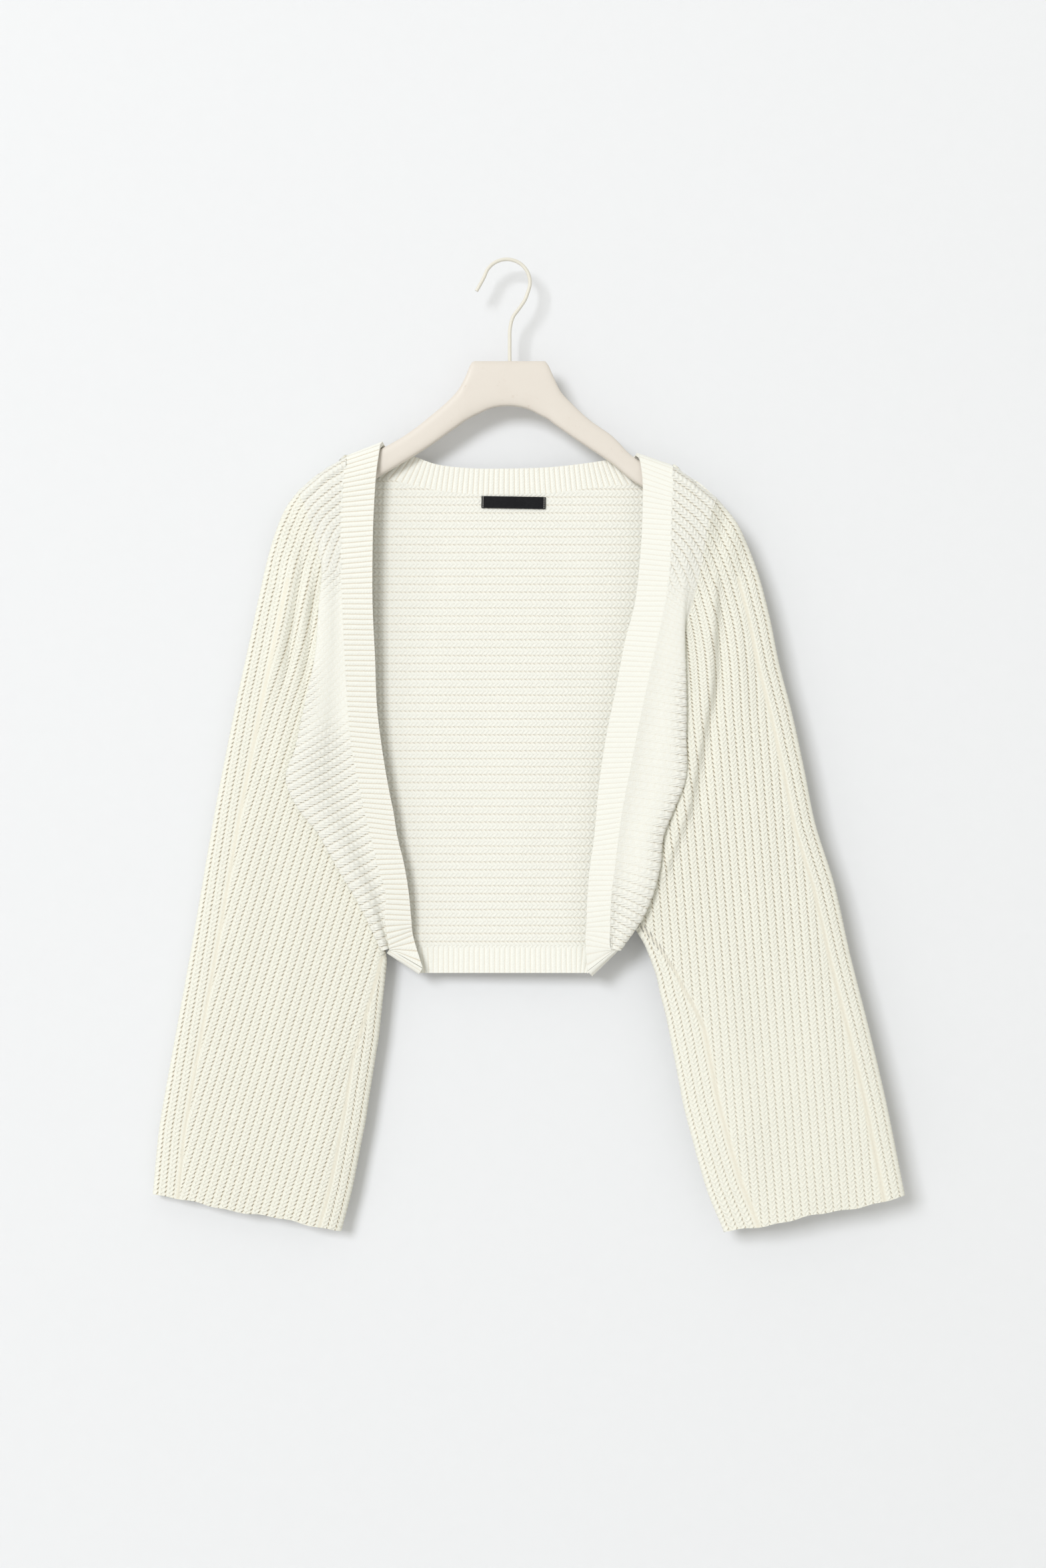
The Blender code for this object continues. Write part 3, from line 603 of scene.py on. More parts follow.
def beside_line(out, z, start_out, start_z, end_out, end_z):
    """How far along a line each place lies, from 0 to 1, and how far to the side of it."""
    span_out, span_z = end_out - start_out, end_z - start_z
    length = math.hypot(span_out, span_z)
    t = ((out - start_out) * span_out + (z - start_z) * span_z) / length ** 2
    off = ((z - start_z) * span_out - (out - start_out) * span_z) / length
    return t, off


def crease_lift(side, x, z):
    lift = np.zeros_like(x)
    for rows, sign in ((SLEEVE_CREASES[side], 1), (VALLEYS[side], -1)):
        for *line, inner, outer, height in rows:
            t, off = beside_line(side * x, z, *line)
            ends = ease(-0.22, 0.25, t) * (1 - ease(0.75, 1.22, t))
            width = np.where(off > 0, outer, inner)
            lift += sign * height * ends * np.exp(-(off / width) ** 2)
    return lift


# %% Sleeve surfaces
STRIP_BLEND = 2.6       # half the width of the calm line where one run of ribs ends against another
# SLEEVE_CALM also thins the painted shade of the stitches towards the cuff, so the right cuff is painted
# brighter, standing in for the stronger light on it.
SLEEVE_CALM = {LEFT: 0.0, RIGHT: 0.35}      # how much flatter the stitches lie towards the cuff
BACK_TOP, BACK_HEM = 9.8, HEM_Y      # y of the back, high up and at its hem


def back_y(z, crest_z):
    flat = BACK_TOP + (BACK_HEM - BACK_TOP) * np.clip((np.asarray(z, float) + 300) / -320, 0.0, 1.0)
    drop = np.clip((crest_z - np.asarray(z, float)) / SHOULDER_ROUND, 0.0, 1.0)
    return flat * np.sqrt(1 - (1 - drop) ** 2)


def round_off(f):
    return (1 - np.abs(2 * f - 1) ** SLEEVE_SQUARENESS) ** (1 / SLEEVE_SQUARENESS)


def even_fractions(count, width=170.0, depth=15.0):
    """Places across a flat ring that lie evenly round its edge too."""
    fine = 0.5 - 0.5 * np.cos(np.linspace(0.0, math.pi, 801))
    run = lengths_along(np.stack([fine * width, depth / 2 * round_off(fine)], -1))
    return np.interp(np.linspace(0.0, run[-1], count), run, fine)


def sleeve_half(side, sign, rows, count):
    """The front (sign -1) or the back (sign 1) face of a sleeve, from its outer to its inner edge."""
    table = np.array(FRONT_ROWS[side][:ARMHOLE_ROWS[side]], float)
    out, z = table[:, 4], table[:, 5]
    y = table[:, 7] if sign < 0 else back_y(z, z[0])
    chord = np.array([out[-1] - out[0], z[-1] - z[0]])
    fractions = ((out - out[0]) * chord[0] + (z - z[0]) * chord[1]) / (chord @ chord)
    bend_out = out - (out[0] + chord[0] * fractions)
    bend_z = z - (z[0] + chord[1] * fractions)
    rings = np.array(SLEEVE_RINGS[side], float)
    apex = [out[-1] + (rings[0, 2] - out[-1]) * 0.2, 0.8, z[-1] + (rings[0, 3] - z[-1]) * 0.2]
    armhole = np.stack([out, y, z], -1)
    armhole[0, 1] = 0.0
    f = even_fractions(count)
    knots = np.append(fractions * 0.985, 1.0)
    first = smooth(knots, np.vstack([armhole, apex]), f)
    outline = [first]
    for number, ring in enumerate(rings, 1):
        keep = (1 - number / len(rings)) ** 2
        f2 = f * 0.985 + 0.015 * f ** 8
        line_out = ring[0] + (ring[2] - ring[0]) * f2 + keep * np.interp(f, fractions, bend_out)
        line_z = ring[1] + (ring[3] - ring[1]) * f2 + keep * np.interp(f, fractions, bend_z)
        middle = ring[5] * (1.0 if number > 2 else f)
        line_y = middle + sign * ring[4] / 2 * round_off(f)
        outline.append(np.stack([line_out, line_y, line_z], -1))
    outline = np.array(outline)
    steps = np.linalg.norm(np.diff(outline[:, [0, count // 2]], axis=0), axis=2).mean(axis=1)
    knots = np.concatenate([[0.0], np.cumsum(steps)])
    at = np.linspace(0.0, knots[-1], rows)
    half = smooth(knots, outline.reshape(len(outline), -1), at).reshape(rows, count, 3)
    half[..., 0] *= side
    if sign < 0:
        fade = ease(0.0, 0.12, f) * (1 - ease(0.9, 1.0, f))
        half[..., 1] -= crease_lift(side, half[..., 0], half[..., 2]) * fade
    cuff = ease(0.88, 1.0, np.linspace(0.0, 1.0, rows))[:, None]
    half[..., 2] += cuff * (0.9 * np.sin(half[..., 0] / 13 + sign) + 0.5 * np.sin(half[..., 0] / 4.7))
    half[..., 1] += cuff * 0.8 * np.sin(half[..., 0] / 17 + 2)
    return half


def build_sleeve(side, name, material, rows=261, front_count=141, back_count=101):
    front = sleeve_half(side, -1, rows, front_count)
    back = sleeve_half(side, 1, rows, back_count)
    grid = np.concatenate([front, back[:, -2:0:-1]], axis=1)
    if side == RIGHT:
        grid = grid[:, ::-1]
    rib, stitch, to_strip = sleeve_field(side, grid[..., 0], grid[..., 2], with_strips=True)
    calm = 1 - np.exp(-(to_strip / STRIP_BLEND) ** 2)
    loose = 1 - SLEEVE_CALM[side] * (1 - ease(-760, -520, grid[..., 2]))
    # The openness carries calm and loose into the strength of the painted shade of the stitches.
    return cloth_sheet(name, grid, rib, stitch, RELIEF * (0.25 + 0.75 * calm) * loose, material,
                       closed=True, lining=2, openness=calm * loose)


# %% [markdown]
# ## The back
# The back is a patch stretched between four lines: the two armholes, the hem, and the top with its neck
# curve. A Coons patch does just that. It adds the two ways of filling in between opposite lines, and
# takes away the plain corner-to-corner filling that was counted twice. Its inner face is what shows
# between the fronts, and its outer face is the garment's real back, so both get ribs.

# %% Back surface
BACK_RIB = 7.3


def back_edges():
    sides = {}
    for side in (LEFT, RIGHT):
        rows = np.array(FRONT_ROWS[side][:15], float)
        sides[side] = np.stack([side * (rows[:, 4] - 0.15), rows[:, 5]], -1)
    left_tip, right_tip = sides[LEFT][0], sides[RIGHT][0]
    neck = np.array([(row[2], row[3], row[4]) for row in NECK_ROWS])
    top = [np.append(left_tip + (neck[0, :2] - left_tip) * t + (0, lift), 0.0)
           for t, lift in ((0, 0), (0.35, 2.5), (0.7, 0))]
    top += list(neck)
    top += [np.append(right_tip + (neck[-1, :2] - right_tip) * t + (0, lift), 0.0)
            for t, lift in ((0.7, 0), (0.35, 2.5), (0, 0))]
    hem_top = HEM_SEAM_Z
    hem = [sides[LEFT][-1], (-112, -624), (-105, hem_top), (-60, hem_top), (0, hem_top), (50, hem_top),
           (92, hem_top), sides[RIGHT][-1]]
    return sides[LEFT], sides[RIGHT], np.array(top), np.array(hem)


def build_back(material, rows=375, columns=113):
    left, right, top, hem = back_edges()
    levels = (left[:, 1] - left[0, 1]) / (left[-1, 1] - left[0, 1])
    u_knots = (top[:, 0] - top[0, 0]) / (top[-1, 0] - top[0, 0])
    run = lengths_along(hem)
    hem = np.stack([np.interp(np.linspace(0, run[-1], len(top)), run, hem[:, k]) for k in (0, 1)], -1)
    u = np.linspace(0.0, 1.0, columns)
    t = np.linspace(0.0, 1.0, rows)
    v = np.where(t < 0.06, t * t / 0.12, 0.03 + (t - 0.06) * 0.97 / 0.94)
    top, hem = smooth(u_knots, top, u), smooth(u_knots, hem, u)
    left, right = smooth(levels, left, v), smooth(levels, right, v)
    u, v = u[None, :, None], v[:, None, None]
    flat = (top[None, :, :2] * (1 - v) + hem[None] * v + left[:, None] * (1 - u) + right[:, None] * u
            - (top[0, :2] * (1 - u) + top[-1, :2] * u) * (1 - v) - (hem[0] * (1 - u) + hem[-1] * u) * v)
    x, z = flat[..., 0], flat[..., 1]
    rise = np.clip((top[None, :, 1] - z) / SHOULDER_ROUND, 0.0, 1.0)
    start = top[None, :, 2]
    y = start + (back_y(z, 1e6) - start) * np.sqrt(1 - (1 - rise) ** 2)
    grid = np.stack([x, np.maximum(y, TOUCH), z], -1)
    grid[..., 1] += back_lift(x, z)
    rib = z / BACK_RIB
    depth = 0.4 * RELIEF * ease(-2, 10, top[None, :, 1] - z + 4)
    return cloth_sheet("back_knit", grid, rib, x / STITCH, depth, material)


# %% Soft waves of the back
BACK_CREASES = [    # start x, start z, end x, end z, width, height
    (-60, -225, -96, -420, 15, 0.7),
    (40, -230, 70, -400, 16, 0.7),
    (-20, -360, -34, -560, 20, 0.5),
    (46, -450, 30, -610, 18, 0.5),
]


def back_lift(x, z):
    lift = np.zeros_like(x)
    for *line, width, height in BACK_CREASES:
        t, off = beside_line(x, z, *line)
        lift += height * ease(-0.2, 0.3, t) * (1 - ease(0.7, 1.2, t)) * np.exp(-(off / width) ** 2)
    return lift


# %% [markdown]
# ## The hanger
# A moulded hanger has no sharp corner anywhere. Each station below gives the top and the bottom of the
# bar at one place, and the bar is lofted through a smooth curve of them. The hook is a wire: a round
# tube along a smooth path.

# %% Stations of the hanger
# x, z of the top, z of the bottom
HANGER_STATIONS = [
    (-186, -217, -226), (-177, -205, -228), (-146, -184, -212), (-115, -171, -195), (-90, -156, -180),
    (-71, -141, -168), (-57, -129, -158), (-47, -118, -151), (-40, -105, -146), (-35.2, -94, -143.4),
    (-33.6, -92.1, -142.4), (-30, -92, -140.8), (-17, -92, -135), (0, -92, -133), (17, -92, -136),
    (29, -92, -142), (32.6, -92.1, -143.8), (34.2, -94, -144.6), (40, -106, -149),
    (47, -120, -154), (57, -131, -161), (72, -145, -171), (93, -160, -185), (115, -181, -203),
    (146, -193.5, -220), (173, -213, -236), (182, -225, -235),
]
HANGER_HALF_DEPTH = 5.5
WIRE_RADIUS = 1.65
HOOK_RADIUS = 21.3
HOOK_CENTRE_X = -2.7
STEM_TOP_Z = -61.0
BLOCK_TOP_Z = -92.0


# %% Hanger and hook surfaces
def loft(name, rings, material):
    """A closed body through rings of points, with a flat end cap at each side."""
    count, corners = rings.shape[:2]
    points = rings.reshape(-1, 3)
    middles = rings[[0, -1]].mean(axis=1)
    walls = grid_faces(count, corners, 0, True)
    first = np.arange(corners)
    last = first + (count - 1) * corners
    caps = []
    for ring, middle, flip in ((first, count * corners, False), (last, count * corners + 1, True)):
        fan = np.stack([np.roll(ring, -1), ring, np.full(corners, middle)], -1)
        caps.append(fan[:, ::-1] if flip else fan)
    return make_mesh(name, np.concatenate([points, middles]), [walls] + caps, material)


def build_hanger_body(material, count=161, corners=40):
    stations = np.array(HANGER_STATIONS, float)
    run = lengths_along(stations)
    rows = smooth(run, stations, np.linspace(0.0, run[-1], count))
    ends = np.minimum(lengths_along(rows), lengths_along(rows)[::-1])
    depth = HANGER_HALF_DEPTH * (0.7 + 0.3 * ease(0, 9, ends))
    angle = 2 * math.pi * (np.arange(corners) + 0.5) / corners
    across = np.sign(np.cos(angle)) * np.abs(np.cos(angle)) ** 0.5
    up = np.sign(np.sin(angle)) * np.abs(np.sin(angle)) ** 0.5
    middle, half = (rows[:, 1] + rows[:, 2]) / 2, (rows[:, 1] - rows[:, 2]) / 2
    rings = np.stack([rows[:, :1] + 0 * angle, depth[:, None] * across,
                      middle[:, None] + half[:, None] * up], -1)
    return loft("hanger_body_look", rings, material)


def build_hook(material, count=180, corners=16):
    centre_z = WIRE_RADIUS - HOOK_RADIUS
    path = [(0.0, BLOCK_TOP_Z - 0.1), (0.0, -75.0), (0.4, STEM_TOP_Z), (3.2, -51.0), (9.0, -43.0),
            (14.2, -35.0)]
    for turn in np.radians(np.arange(-25, 166, 19)):
        path.append((HOOK_CENTRE_X + HOOK_RADIUS * math.cos(turn), centre_z + HOOK_RADIUS * math.sin(turn)))
    path.append((-30.5, -27.5))
    line = spread(np.array(path), count)
    way = np.gradient(line, axis=0)
    way /= np.linalg.norm(way, axis=1, keepdims=True)
    angle = 2 * math.pi * np.arange(corners) / corners
    side = np.stack([way[:, 1], -way[:, 0]], -1)
    flat = line[:, None] + WIRE_RADIUS * np.cos(angle)[None, :, None] * side[:, None]
    y = np.broadcast_to(WIRE_RADIUS * np.sin(angle), flat.shape[:2])
    return loft("hanger_hook_look", np.stack([flat[..., 0], y, flat[..., 1]], -1), material)


# %% [markdown]
# ## The label
# A short piece of woven tape is sewn inside the neck, with a few stitches at each end. It is left bare.

# %% Label surfaces
LABEL_CENTRE = (3.5, -220.5)
LABEL_SIZE = (59.0, 11.0, 0.8)
LABEL_TILT = -1.0


def label_frame(points):
    """Turn points of the flat label to its place inside the neck."""
    turn = math.radians(-LABEL_TILT)
    x = LABEL_CENTRE[0] + points[..., 0] * math.cos(turn) + points[..., 2] * math.sin(turn)
    z = LABEL_CENTRE[1] - points[..., 0] * math.sin(turn) + points[..., 2] * math.cos(turn)
    return np.stack([x, BACK_TOP - CLOTH / 2 - 0.7 - LABEL_SIZE[2] / 2 + points[..., 1], z], -1)


def build_label(material, count=61, across=13):
    width, height, thick = LABEL_SIZE
    u = np.linspace(-width / 2, width / 2, count)
    v = np.linspace(-height / 2, height / 2, across)
    rings = []
    for x in u:
        bow = -0.35 * math.cos(math.pi * x / width) - 0.12 * math.cos(2 * math.pi * x / 23)
        loop = [(x, bow - thick / 2, z) for z in v] + [(x, bow + thick / 2, z) for z in v[::-1]]
        rings.append(loop)
    return loft("label_look", label_frame(np.array(rings)), material)


def build_label_stitches(material):
    """Two short rows of pale stitches that hold the ends of the tape."""
    width, height, thick = LABEL_SIZE
    points, faces = [], []
    for x in (-width / 2 + 1.4, width / 2 - 1.4):
        for z in np.arange(-height / 2 + 1.2, height / 2 - 0.8, 1.75):
            base = len(points)
            for dz in (-0.62, 0.62):
                for angle in np.radians(np.arange(6) * 60):
                    y = -thick / 2 - 0.12 + 0.2 * math.sin(angle)
                    points.append((x + 0.22 * math.cos(angle), y, z + dz))
            for k in range(6):
                m = (k + 1) % 6
                faces.append((base + k, base + m, base + 6 + m, base + 6 + k))
    return make_mesh("label_stitches", label_frame(np.array(points)), [np.array(faces)], material)


# %% [markdown]
# ## Small helpers for node trees
# A node group is a box of nodes with its own named sockets. Made once, it can be used in any material.
# These helpers keep the cells below short: `value` adds a Math node, and `group` starts a new group.

# %% Node helpers
def plug(tree, socket, source):
    """Set a socket to a number or colour, or link it to another socket."""
    if isinstance(source, bpy.types.NodeSocket):
        tree.links.new(source, socket)
    else:
        socket.default_value = source


def value(tree, operation, *sources):
    node = tree.nodes.new("ShaderNodeMath")
    node.operation = operation
    for socket, source in zip(node.inputs, sources):
        plug(tree, socket, source)
    return node.outputs[0]


def step(tree, source, low, high, to_low=0.0, to_high=1.0):
    node = tree.nodes.new("ShaderNodeMapRange")
    node.interpolation_type = "SMOOTHSTEP"
    for name, source in zip(("Value", "From Min", "From Max", "To Min", "To Max"),
                            (source, low, high, to_low, to_high)):
        plug(tree, node.inputs[name], source)
    return node.outputs["Result"]


def noise(tree, coordinates, scale, detail=2.0):
    node = tree.nodes.new("ShaderNodeTexNoise")
    plug(tree, node.inputs["Vector"], coordinates)
    node.inputs["Scale"].default_value = scale
    node.inputs["Detail"].default_value = detail
    return node.outputs[0]


def blend(tree, factor, one, two):
    node = tree.nodes.new("ShaderNodeMix")
    node.data_type = "RGBA"
    plug(tree, node.inputs[0], factor)
    plug(tree, node.inputs[6], one)
    plug(tree, node.inputs[7], two)
    return node.outputs[2]


def group(name, inputs, outputs):
    """A new node group, with the tree and the sockets of its input and output nodes."""
    tree = bpy.data.node_groups.new(name, "ShaderNodeTree")
    for label, kind, default in inputs:
        socket = tree.interface.new_socket(name=label, in_out="INPUT", socket_type=kind)
        if default is not None:
            socket.default_value = default
    for label, kind in outputs:
        tree.interface.new_socket(name=label, in_out="OUTPUT", socket_type=kind)
    start, end = tree.nodes.new("NodeGroupInput"), tree.nodes.new("NodeGroupOutput")
    start.location, end.location = (-900, 0), (900, 0)
    return tree, start.outputs, end.inputs


def use_group(tree, node_tree, **sources):
    """A node group placed in a tree, with its inputs plugged by name. Returns its outputs."""
    box = tree.nodes.new("ShaderNodeGroup")
    box.node_tree = node_tree
    for label, source in sources.items():
        plug(tree, box.inputs[label], source)
    return box.outputs


VECTOR, COLOUR, FLOAT = "NodeSocketVector", "NodeSocketColor", "NodeSocketFloat"

# %% [markdown]
# ## The knit stitch group
# The "knit" coordinates count ribs in x and stitches in y. Folding x gives 0 on the crest of a rib and
# 0.5 in the furrow beside it. Along each furrow the stitches cross over in a little zigzag, and between
# two of them there is a hole where you look into the shade. On the crest the two legs of each stitch
# meet in a V, with a faint dot where they touch. The furrows, the holes, the gaps beside the legs and
# the dots are all painted darker: painted shade, mixed towards the furrow colour and a brown tint.

# %% Knit stitch group
knit_group, knit_in, knit_out = group(
    "Knit stitches",
    [("Coordinates", VECTOR, None), ("Place", VECTOR, None), ("Yarn", COLOUR, (0.86, 0.85, 0.76, 1)),
     ("Furrow", COLOUR, (0.62, 0.5, 0.34, 1)), ("Openness", FLOAT, 1.0), ("Holes", FLOAT, 1.0),
     ("Dots", FLOAT, 0.25), ("Fuzz", FLOAT, 0.5), ("Lines", FLOAT, 0.3), ("Legs", FLOAT, 1.0),
     ("Dense", FLOAT, 0.0)],
    [("Color", COLOUR), ("Height", FLOAT)])
n = knit_group
parts = n.nodes.new("ShaderNodeSeparateXYZ")
plug(n, parts.inputs[0], knit_in["Coordinates"])
wander = value(n, "SUBTRACT", noise(n, knit_in["Place"], 160.0), 0.5)
ribs = value(n, "ADD", parts.outputs["X"], value(n, "MULTIPLY", wander, 0.10))
stitches = value(n, "ADD", parts.outputs["Y"], value(n, "MULTIPLY", wander, 0.5))
offset = value(n, "SUBTRACT", value(n, "FRACT", value(n, "ADD", ribs, 0.5)), 0.5)
fold = value(n, "ABSOLUTE", offset)
turn = value(n, "MULTIPLY", stitches, 2 * math.pi)
wave = value(n, "COSINE", turn)
zigzag = value(n, "ADD", fold, value(n, "MULTIPLY", wave, 0.03))
# The furrow mask: here the yarn is mixed towards the furrow colour as painted shade.
furrow = value(n, "MULTIPLY", step(n, zigzag, 0.32, 0.5), knit_in["Openness"])
slant = value(n, "COSINE", value(n, "ADD", turn, value(n, "MULTIPLY", offset, 5.0)))
hole = value(n, "MULTIPLY", step(n, fold, 0.37, 0.45), step(n, slant, 0.25, 0.95))
hole = value(n, "MULTIPLY", hole, value(n, "MULTIPLY", knit_in["Holes"], knit_in["Openness"]))
legs = value(n, "COSINE", value(n, "ADD", turn, value(n, "MULTIPLY", fold, 9.0)))
legs = value(n, "MULTIPLY", value(n, "MULTIPLY_ADD", legs, 0.5, 0.5), knit_in["Legs"])
dots = value(n, "MULTIPLY", step(n, fold, 0.03, 0.10, 1.0, 0.0), step(n, wave, 0.2, -0.8, 0.0, 1.0))
dots = value(n, "MULTIPLY", dots, value(n, "MULTIPLY", knit_in["Dots"], knit_in["Openness"]))
fuzz = value(n, "SUBTRACT", noise(n, knit_in["Place"], 1900.0, 3.0), 0.5)
print("nodes in the knit group so far:", len(n.nodes))

# %% Colour and height of the knit
# shade is how far the yarn is mixed towards the furrow colour: painted shade in the furrows, on the dots and
# in the gaps beside the legs, plus the fuzz, which is the yarn's own uneven tone.
shade = value(n, "ADD", value(n, "MULTIPLY", furrow, knit_in["Lines"]), value(n, "MULTIPLY", dots, 0.6))
shade = value(n, "ADD", shade, value(n, "MULTIPLY", fuzz, 0.10))
shade = value(n, "ADD", shade, value(n, "MULTIPLY", value(n, "SUBTRACT", knit_in["Legs"], legs), 0.10))
# Painted shade where the stitches lie flat (low openness), laid on so that the calm lines between runs of
# ribs don't show as pale stripes.
painted_dense_shade = value(n, "MULTIPLY", step(n, knit_in["Openness"], 0.0, 0.6, 1.0, 0.0), knit_in["Dense"])
shade = value(n, "ADD", shade, painted_dense_shade)
colour = blend(n, value(n, "MAXIMUM", shade, 0.0), knit_in["Yarn"], knit_in["Furrow"])
# The holes are multiplied by a brown tint: painted shade.
deep = n.nodes.new("ShaderNodeMix")
deep.data_type, deep.blend_type = "RGBA", "MULTIPLY"
plug(n, deep.inputs[0], hole)
plug(n, deep.inputs[6], colour)
deep.inputs[7].default_value = (0.66, 0.57, 0.43, 1)
plug(n, knit_out["Color"], deep.outputs[2])
rise = value(n, "MULTIPLY", legs, value(n, "SUBTRACT", 0.45, value(n, "MULTIPLY", furrow, 0.3)))
rise = value(n, "SUBTRACT", rise, value(n, "MULTIPLY", hole, 0.9))
rise = value(n, "SUBTRACT", rise, value(n, "MULTIPLY", dots, 0.6))
rise = value(n, "MULTIPLY", rise, step(n, knit_in["Openness"], 0.1, 0.75, 0.08, 1.0))
rise = value(n, "ADD", rise, value(n, "MULTIPLY", fuzz, knit_in["Fuzz"]))
plug(n, knit_out["Height"], rise)

# %% [markdown]
# ## Materials of the yarn
# Each cloth gets the same group with its own amounts. Sheen gives the soft bright rim that loose fibres
# make. The bump turns the group's height into the small relief of single stitches.


# %% Yarn materials
def start_material(name, roughness):
    made = bpy.data.materials.new(name)
    made.use_nodes = True
    tree = made.node_tree
    shader = tree.nodes["Principled BSDF"]
    shader.inputs["Roughness"].default_value = roughness
    place = tree.nodes.new("ShaderNodeTexCoord").outputs["Object"]
    return made, tree, shader, place


def add_bump(tree, shader, height, distance, strength=1.0):
    bump = tree.nodes.new("ShaderNodeBump")
    bump.inputs["Distance"].default_value = distance
    bump.inputs["Strength"].default_value = strength
    plug(tree, bump.inputs["Height"], height)
    plug(tree, shader.inputs["Normal"], bump.outputs[0])


# furrow is the colour of the painted furrow shade, and lines sets how strongly it is laid on.
def knit_material(name, holes, dots, fuzz, relief, yarn, furrow=(0.80, 0.71, 0.54, 1), lines=0.3, legs=1.0,
                  dense=0.0):
    made, tree, shader, place = start_material(name, 0.85)
    shader.inputs["Sheen Weight"].default_value = 0.25
    shader.inputs["Sheen Roughness"].default_value = 0.5
    shader.inputs["Specular IOR Level"].default_value = 0.2
    uv = tree.nodes.new("ShaderNodeUVMap")
    uv.uv_map = "knit"
    slack = tree.nodes.new("ShaderNodeAttribute")
    slack.attribute_name = "openness"
    knit = use_group(tree, knit_group, Coordinates=uv.outputs[0], Place=place, Yarn=yarn, Furrow=furrow,
                     Openness=slack.outputs["Fac"], Holes=holes, Dots=dots, Fuzz=fuzz, Lines=lines,
                     Legs=legs, Dense=dense)
    plug(tree, shader.inputs["Base Color"], knit["Color"])
    add_bump(tree, shader, knit["Height"], relief)
    return made


# WARM, on the sleeves, is a lighter and yellower copy of the same yarn as PALE: painted light standing in for
# the brighter light and warm bounced shade on the sleeves.
WARM, PALE = (0.945, 0.94, 0.84, 1), (0.91, 0.91, 0.845, 1)
# dense=0.33 lays painted shade on the sleeves where their stitches lie flat.
sleeve_knit = knit_material("Chunky knit", 1.0, 0.45, 0.5, 0.0012, WARM, dense=0.33)
# Each furrow colour here is the colour of painted shade. The fine rib gets a darker one, laid on more
# strongly.
front_knit = knit_material("Chunky knit of the fronts", 0.7, 0.3, 0.5, 0.0011, PALE)
back_knit = knit_material("Chunky knit of the back", 0.35, 0.3, 0.5, 0.0008, PALE, (0.80, 0.72, 0.57, 1))
band_knit = knit_material("Fine rib", 0.25, 0.1, 0.45, 0.0007, PALE, (0.74, 0.66, 0.52, 1), 0.75, 0.35)
print("yarn materials:", [m.name for m in bpy.data.materials if "nit" in m.name or "rib" in m.name])

# %% [markdown]
# ## Materials of the tape, the moulding and the wire
# Woven tape shows a tiny over-and-under grid. The moulding is nearly smooth, with a faint orange-peel
# grain, and a few scuffs scattered by noise. The wire has a plastic coat with a soft shine.

# %% Woven tape group
weave_group, weave_in, weave_out = group(
    "Woven tape", [("Place", VECTOR, None), ("Threads", FLOAT, 2600.0)], [("Mask", FLOAT), ("Height", FLOAT)])
n = weave_group
parts = n.nodes.new("ShaderNodeSeparateXYZ")
plug(n, parts.inputs[0], weave_in["Place"])
threads = []
for axis, rate in (("X", 2.0), ("Z", 2.4)):
    pitch = value(n, "MULTIPLY", weave_in["Threads"], rate)
    threads.append(value(n, "SINE", value(n, "MULTIPLY", parts.outputs[axis], pitch)))
weave = value(n, "MULTIPLY_ADD", value(n, "MULTIPLY", *threads), 0.5, 0.5)
wear = value(n, "SUBTRACT", noise(n, weave_in["Place"], 400.0), 0.5)
plug(n, weave_out["Mask"], value(n, "ADD", weave, wear))
plug(n, weave_out["Height"], weave)

tape, tree, shader, place = start_material("Woven label tape", 0.6)
weave = use_group(tree, weave_group, Place=place)
black = blend(tree, weave["Mask"], (0.006, 0.006, 0.007, 1), (0.017, 0.017, 0.019, 1))
plug(tree, shader.inputs["Base Color"], black)
shader.inputs["Specular IOR Level"].default_value = 0.12
add_bump(tree, shader, weave["Height"], 0.0002)

# %% Coated surface group, for the hanger and its hook
coat_group, coat_in, coat_out = group(
    "Coated surface",
    [("Place", VECTOR, None), ("Base", COLOUR, (0.8, 0.75, 0.65, 1)), ("Worn", COLOUR, (0.5, 0.4, 0.3, 1)),
     ("Wear", FLOAT, 0.3)],
    [("Color", COLOUR), ("Roughness", FLOAT), ("Height", FLOAT)])
n = coat_group
grain = noise(n, coat_in["Place"], 900.0, 4.0)
cloud = noise(n, coat_in["Place"], 35.0, 3.0)
scuff = value(n, "MULTIPLY", step(n, noise(n, coat_in["Place"], 220.0, 4.0), 0.60, 0.72),
              step(n, cloud, 0.45, 0.65))
scuff = value(n, "MULTIPLY", scuff, coat_in["Wear"])
tint = value(n, "ADD", scuff, value(n, "MULTIPLY", value(n, "SUBTRACT", cloud, 0.5), 0.25))
plug(n, coat_out["Color"], blend(n, value(n, "MAXIMUM", tint, 0.0), coat_in["Base"], coat_in["Worn"]))
plug(n, coat_out["Roughness"], value(n, "MULTIPLY_ADD", grain, 0.2, 0.35))
plug(n, coat_out["Height"], value(n, "SUBTRACT", grain, value(n, "MULTIPLY", scuff, 1.5)))


def coated_material(name, base, worn, wear, relief):
    made, tree, shader, place = start_material(name, 0.5)
    coat = use_group(tree, coat_group, Place=place, Base=base, Worn=worn, Wear=wear)
    plug(tree, shader.inputs["Base Color"], coat["Color"])
    plug(tree, shader.inputs["Roughness"], coat["Roughness"])
    add_bump(tree, shader, coat["Height"], relief)
    return made


moulding = coated_material("Cream moulding", (0.735, 0.68, 0.61, 1), (0.56, 0.46, 0.37, 1), 0.35, 0.00008)
wire = coated_material("Coated wire", (0.75, 0.72, 0.63, 1), (0.58, 0.50, 0.39, 1), 0.3, 0.00006)
thread, tree, shader, place = start_material("Pale sewing thread", 0.6)
fibre = noise(tree, place, 3000.0)
plug(tree, shader.inputs["Base Color"], blend(tree, fibre, (0.45, 0.43, 0.40, 1), (0.72, 0.70, 0.66, 1)))

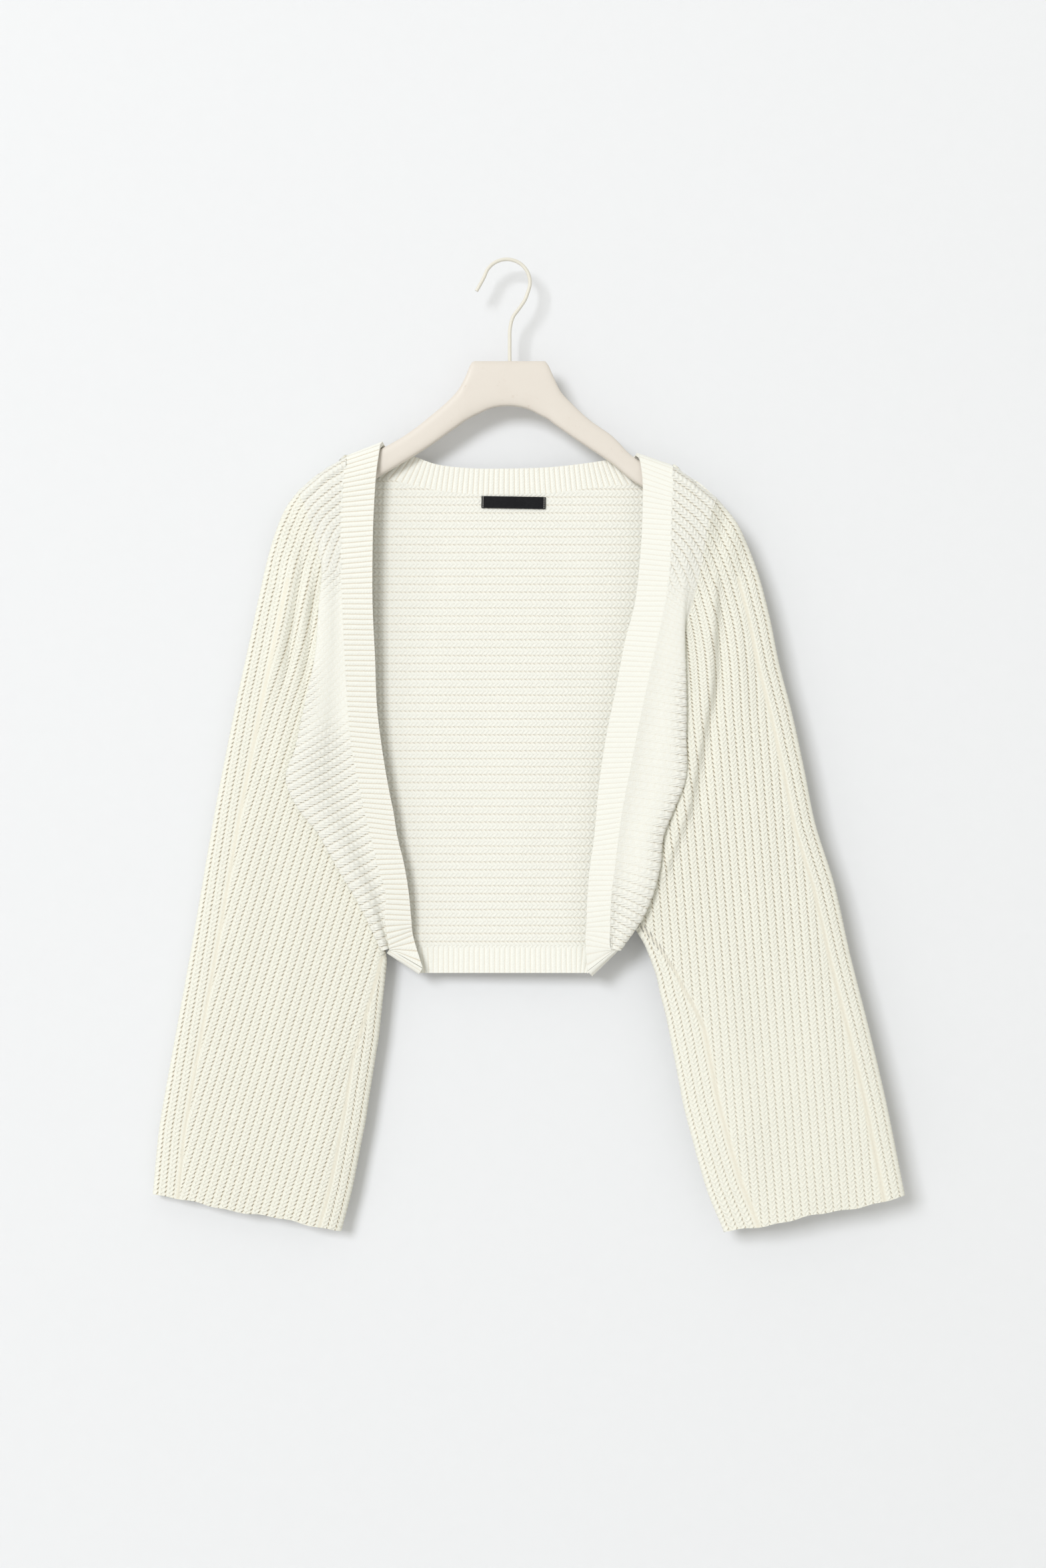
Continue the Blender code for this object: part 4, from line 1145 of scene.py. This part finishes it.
# %% [markdown]
# ## Put the pieces on
# Each new piece stands in for one piece of the model, rides on its body, and hides that piece. The
# model's own pieces keep their material slots, which get the new finishes.

# %% Make and place every piece
PIECES = [
    ("sleeve_left", build_sleeve(LEFT, "sleeve_left_knit", sleeve_knit), "knit"),
    ("sleeve_right", build_sleeve(RIGHT, "sleeve_right_knit", sleeve_knit), "knit"),
    ("front_left", build_front(LEFT, "front_left_knit", front_knit), "knit"),
    ("front_right", build_front(RIGHT, "front_right_knit", front_knit), "knit"),
    ("back", build_back(back_knit), "knit"),
    ("front_band_left", build_front_band(LEFT, "front_band_left_knit", band_knit), "rib"),
    ("front_band_right", build_front_band(RIGHT, "front_band_right_knit", band_knit), "rib"),
    ("neck_band", build_neck_band(band_knit), "rib"),
    ("hem_band", build_hem_band(band_knit), "rib"),
    ("label", build_label(tape), "label_tape"),
    ("hanger_body", build_hanger_body(moulding), "hanger_moulding"),
    ("hanger_hook", build_hook(wire), "hook_wire"),
]
for node, piece, slot in PIECES:
    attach(piece, "root")
    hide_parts(node)
stitches_piece = build_label_stitches(thread)
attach(stitches_piece, "root")

CARRIED = {"label": tape, "hanger_body": moulding, "hanger_hook": wire, "neck_band": band_knit,
           "front_band_left": band_knit, "front_band_right": band_knit, "hem_band": band_knit}
for node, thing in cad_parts.items():
    finish = CARRIED.get(node, sleeve_knit)
    for one in thing.material_slots:
        one.material = finish

# %% [markdown]
# ## The room
# The garment hangs close to a pale wall, and a soft light high on the left draws its shadow. The wall is
# turned a little, so the right sleeve stands farther off it and throws a wider shadow than the left. It
# shows only its front, so the shrug can also be looked at from behind.


# %% Wall and floor
def stage_plane(name, size, place, turn, colour, grain):
    bpy.ops.mesh.primitive_plane_add(size=size, location=place, rotation=turn)
    plane = bpy.context.object
    plane.name = name
    made, tree, shader, where = start_material(name, 0.9)
    mottle = noise(tree, where, grain, 3.0)
    darker = tuple(c * 0.985 for c in colour[:3]) + (1,)
    plug(tree, shader.inputs["Base Color"], blend(tree, mottle, colour, darker))
    add_bump(tree, shader, mottle, 0.0003, 0.4)
    facing = tree.nodes.new("ShaderNodeNewGeometry").outputs["Backfacing"]
    clear = tree.nodes.new("ShaderNodeBsdfTransparent").outputs[0]
    mix = tree.nodes.new("ShaderNodeMixShader")
    for socket, source in zip(mix.inputs, (facing, shader.outputs[0], clear)):
        plug(tree, socket, source)
    plug(tree, tree.nodes["Material Output"].inputs["Surface"], mix.outputs[0])
    plane.data.materials.append(made)


WALL_Y, WALL_TURN = 0.028, math.radians(2.5)
stage_plane("wall", 8.0, (0.0, WALL_Y, 0.0), (math.pi / 2, 0.0, WALL_TURN), (0.822, 0.832, 0.850, 1), 60.0)
stage_plane("floor", 8.0, (0.0, -3.9, -1.6), (0.0, 0.0, 0.0), (0.7, 0.69, 0.67, 1), 20.0)

# %% Light and camera
world = bpy.data.worlds.new("room light")
bpy.context.scene.world = world
world.use_nodes = True
world.node_tree.nodes["Background"].inputs["Color"].default_value = (1.0, 0.99, 0.925, 1)
world.node_tree.nodes["Background"].inputs["Strength"].default_value = 0.62


def area_light(name, place, target, power, size, colour):
    light = bpy.data.lights.new(name, "AREA")
    light.energy, light.size, light.color = power, size, colour
    thing = bpy.data.objects.new(name, light)
    thing.location = place
    thing.rotation_euler = (Vector(target) - Vector(place)).to_track_quat("-Z", "Y").to_euler()
    bpy.context.scene.collection.objects.link(thing)


middle = Vector((0.01, 0.0, -0.45))
window = middle + Vector((-0.46, -1.0, 0.36)).normalized() * 14.0
area_light("window", window, middle, 1110.0, 4.4, (0.955, 0.968, 1.0))
camera = bpy.data.cameras.new("camera")
camera.lens, camera.sensor_width = 50.2, 36.0
viewer = bpy.data.objects.new("camera", camera)
viewer.location = (0.0122, -2.005, -0.4795)
viewer.rotation_euler = (math.pi / 2, 0.0, 0.0)
bpy.context.scene.collection.objects.link(viewer)
bpy.context.scene.camera = viewer
bpy.context.scene.view_settings.view_transform = "Standard"
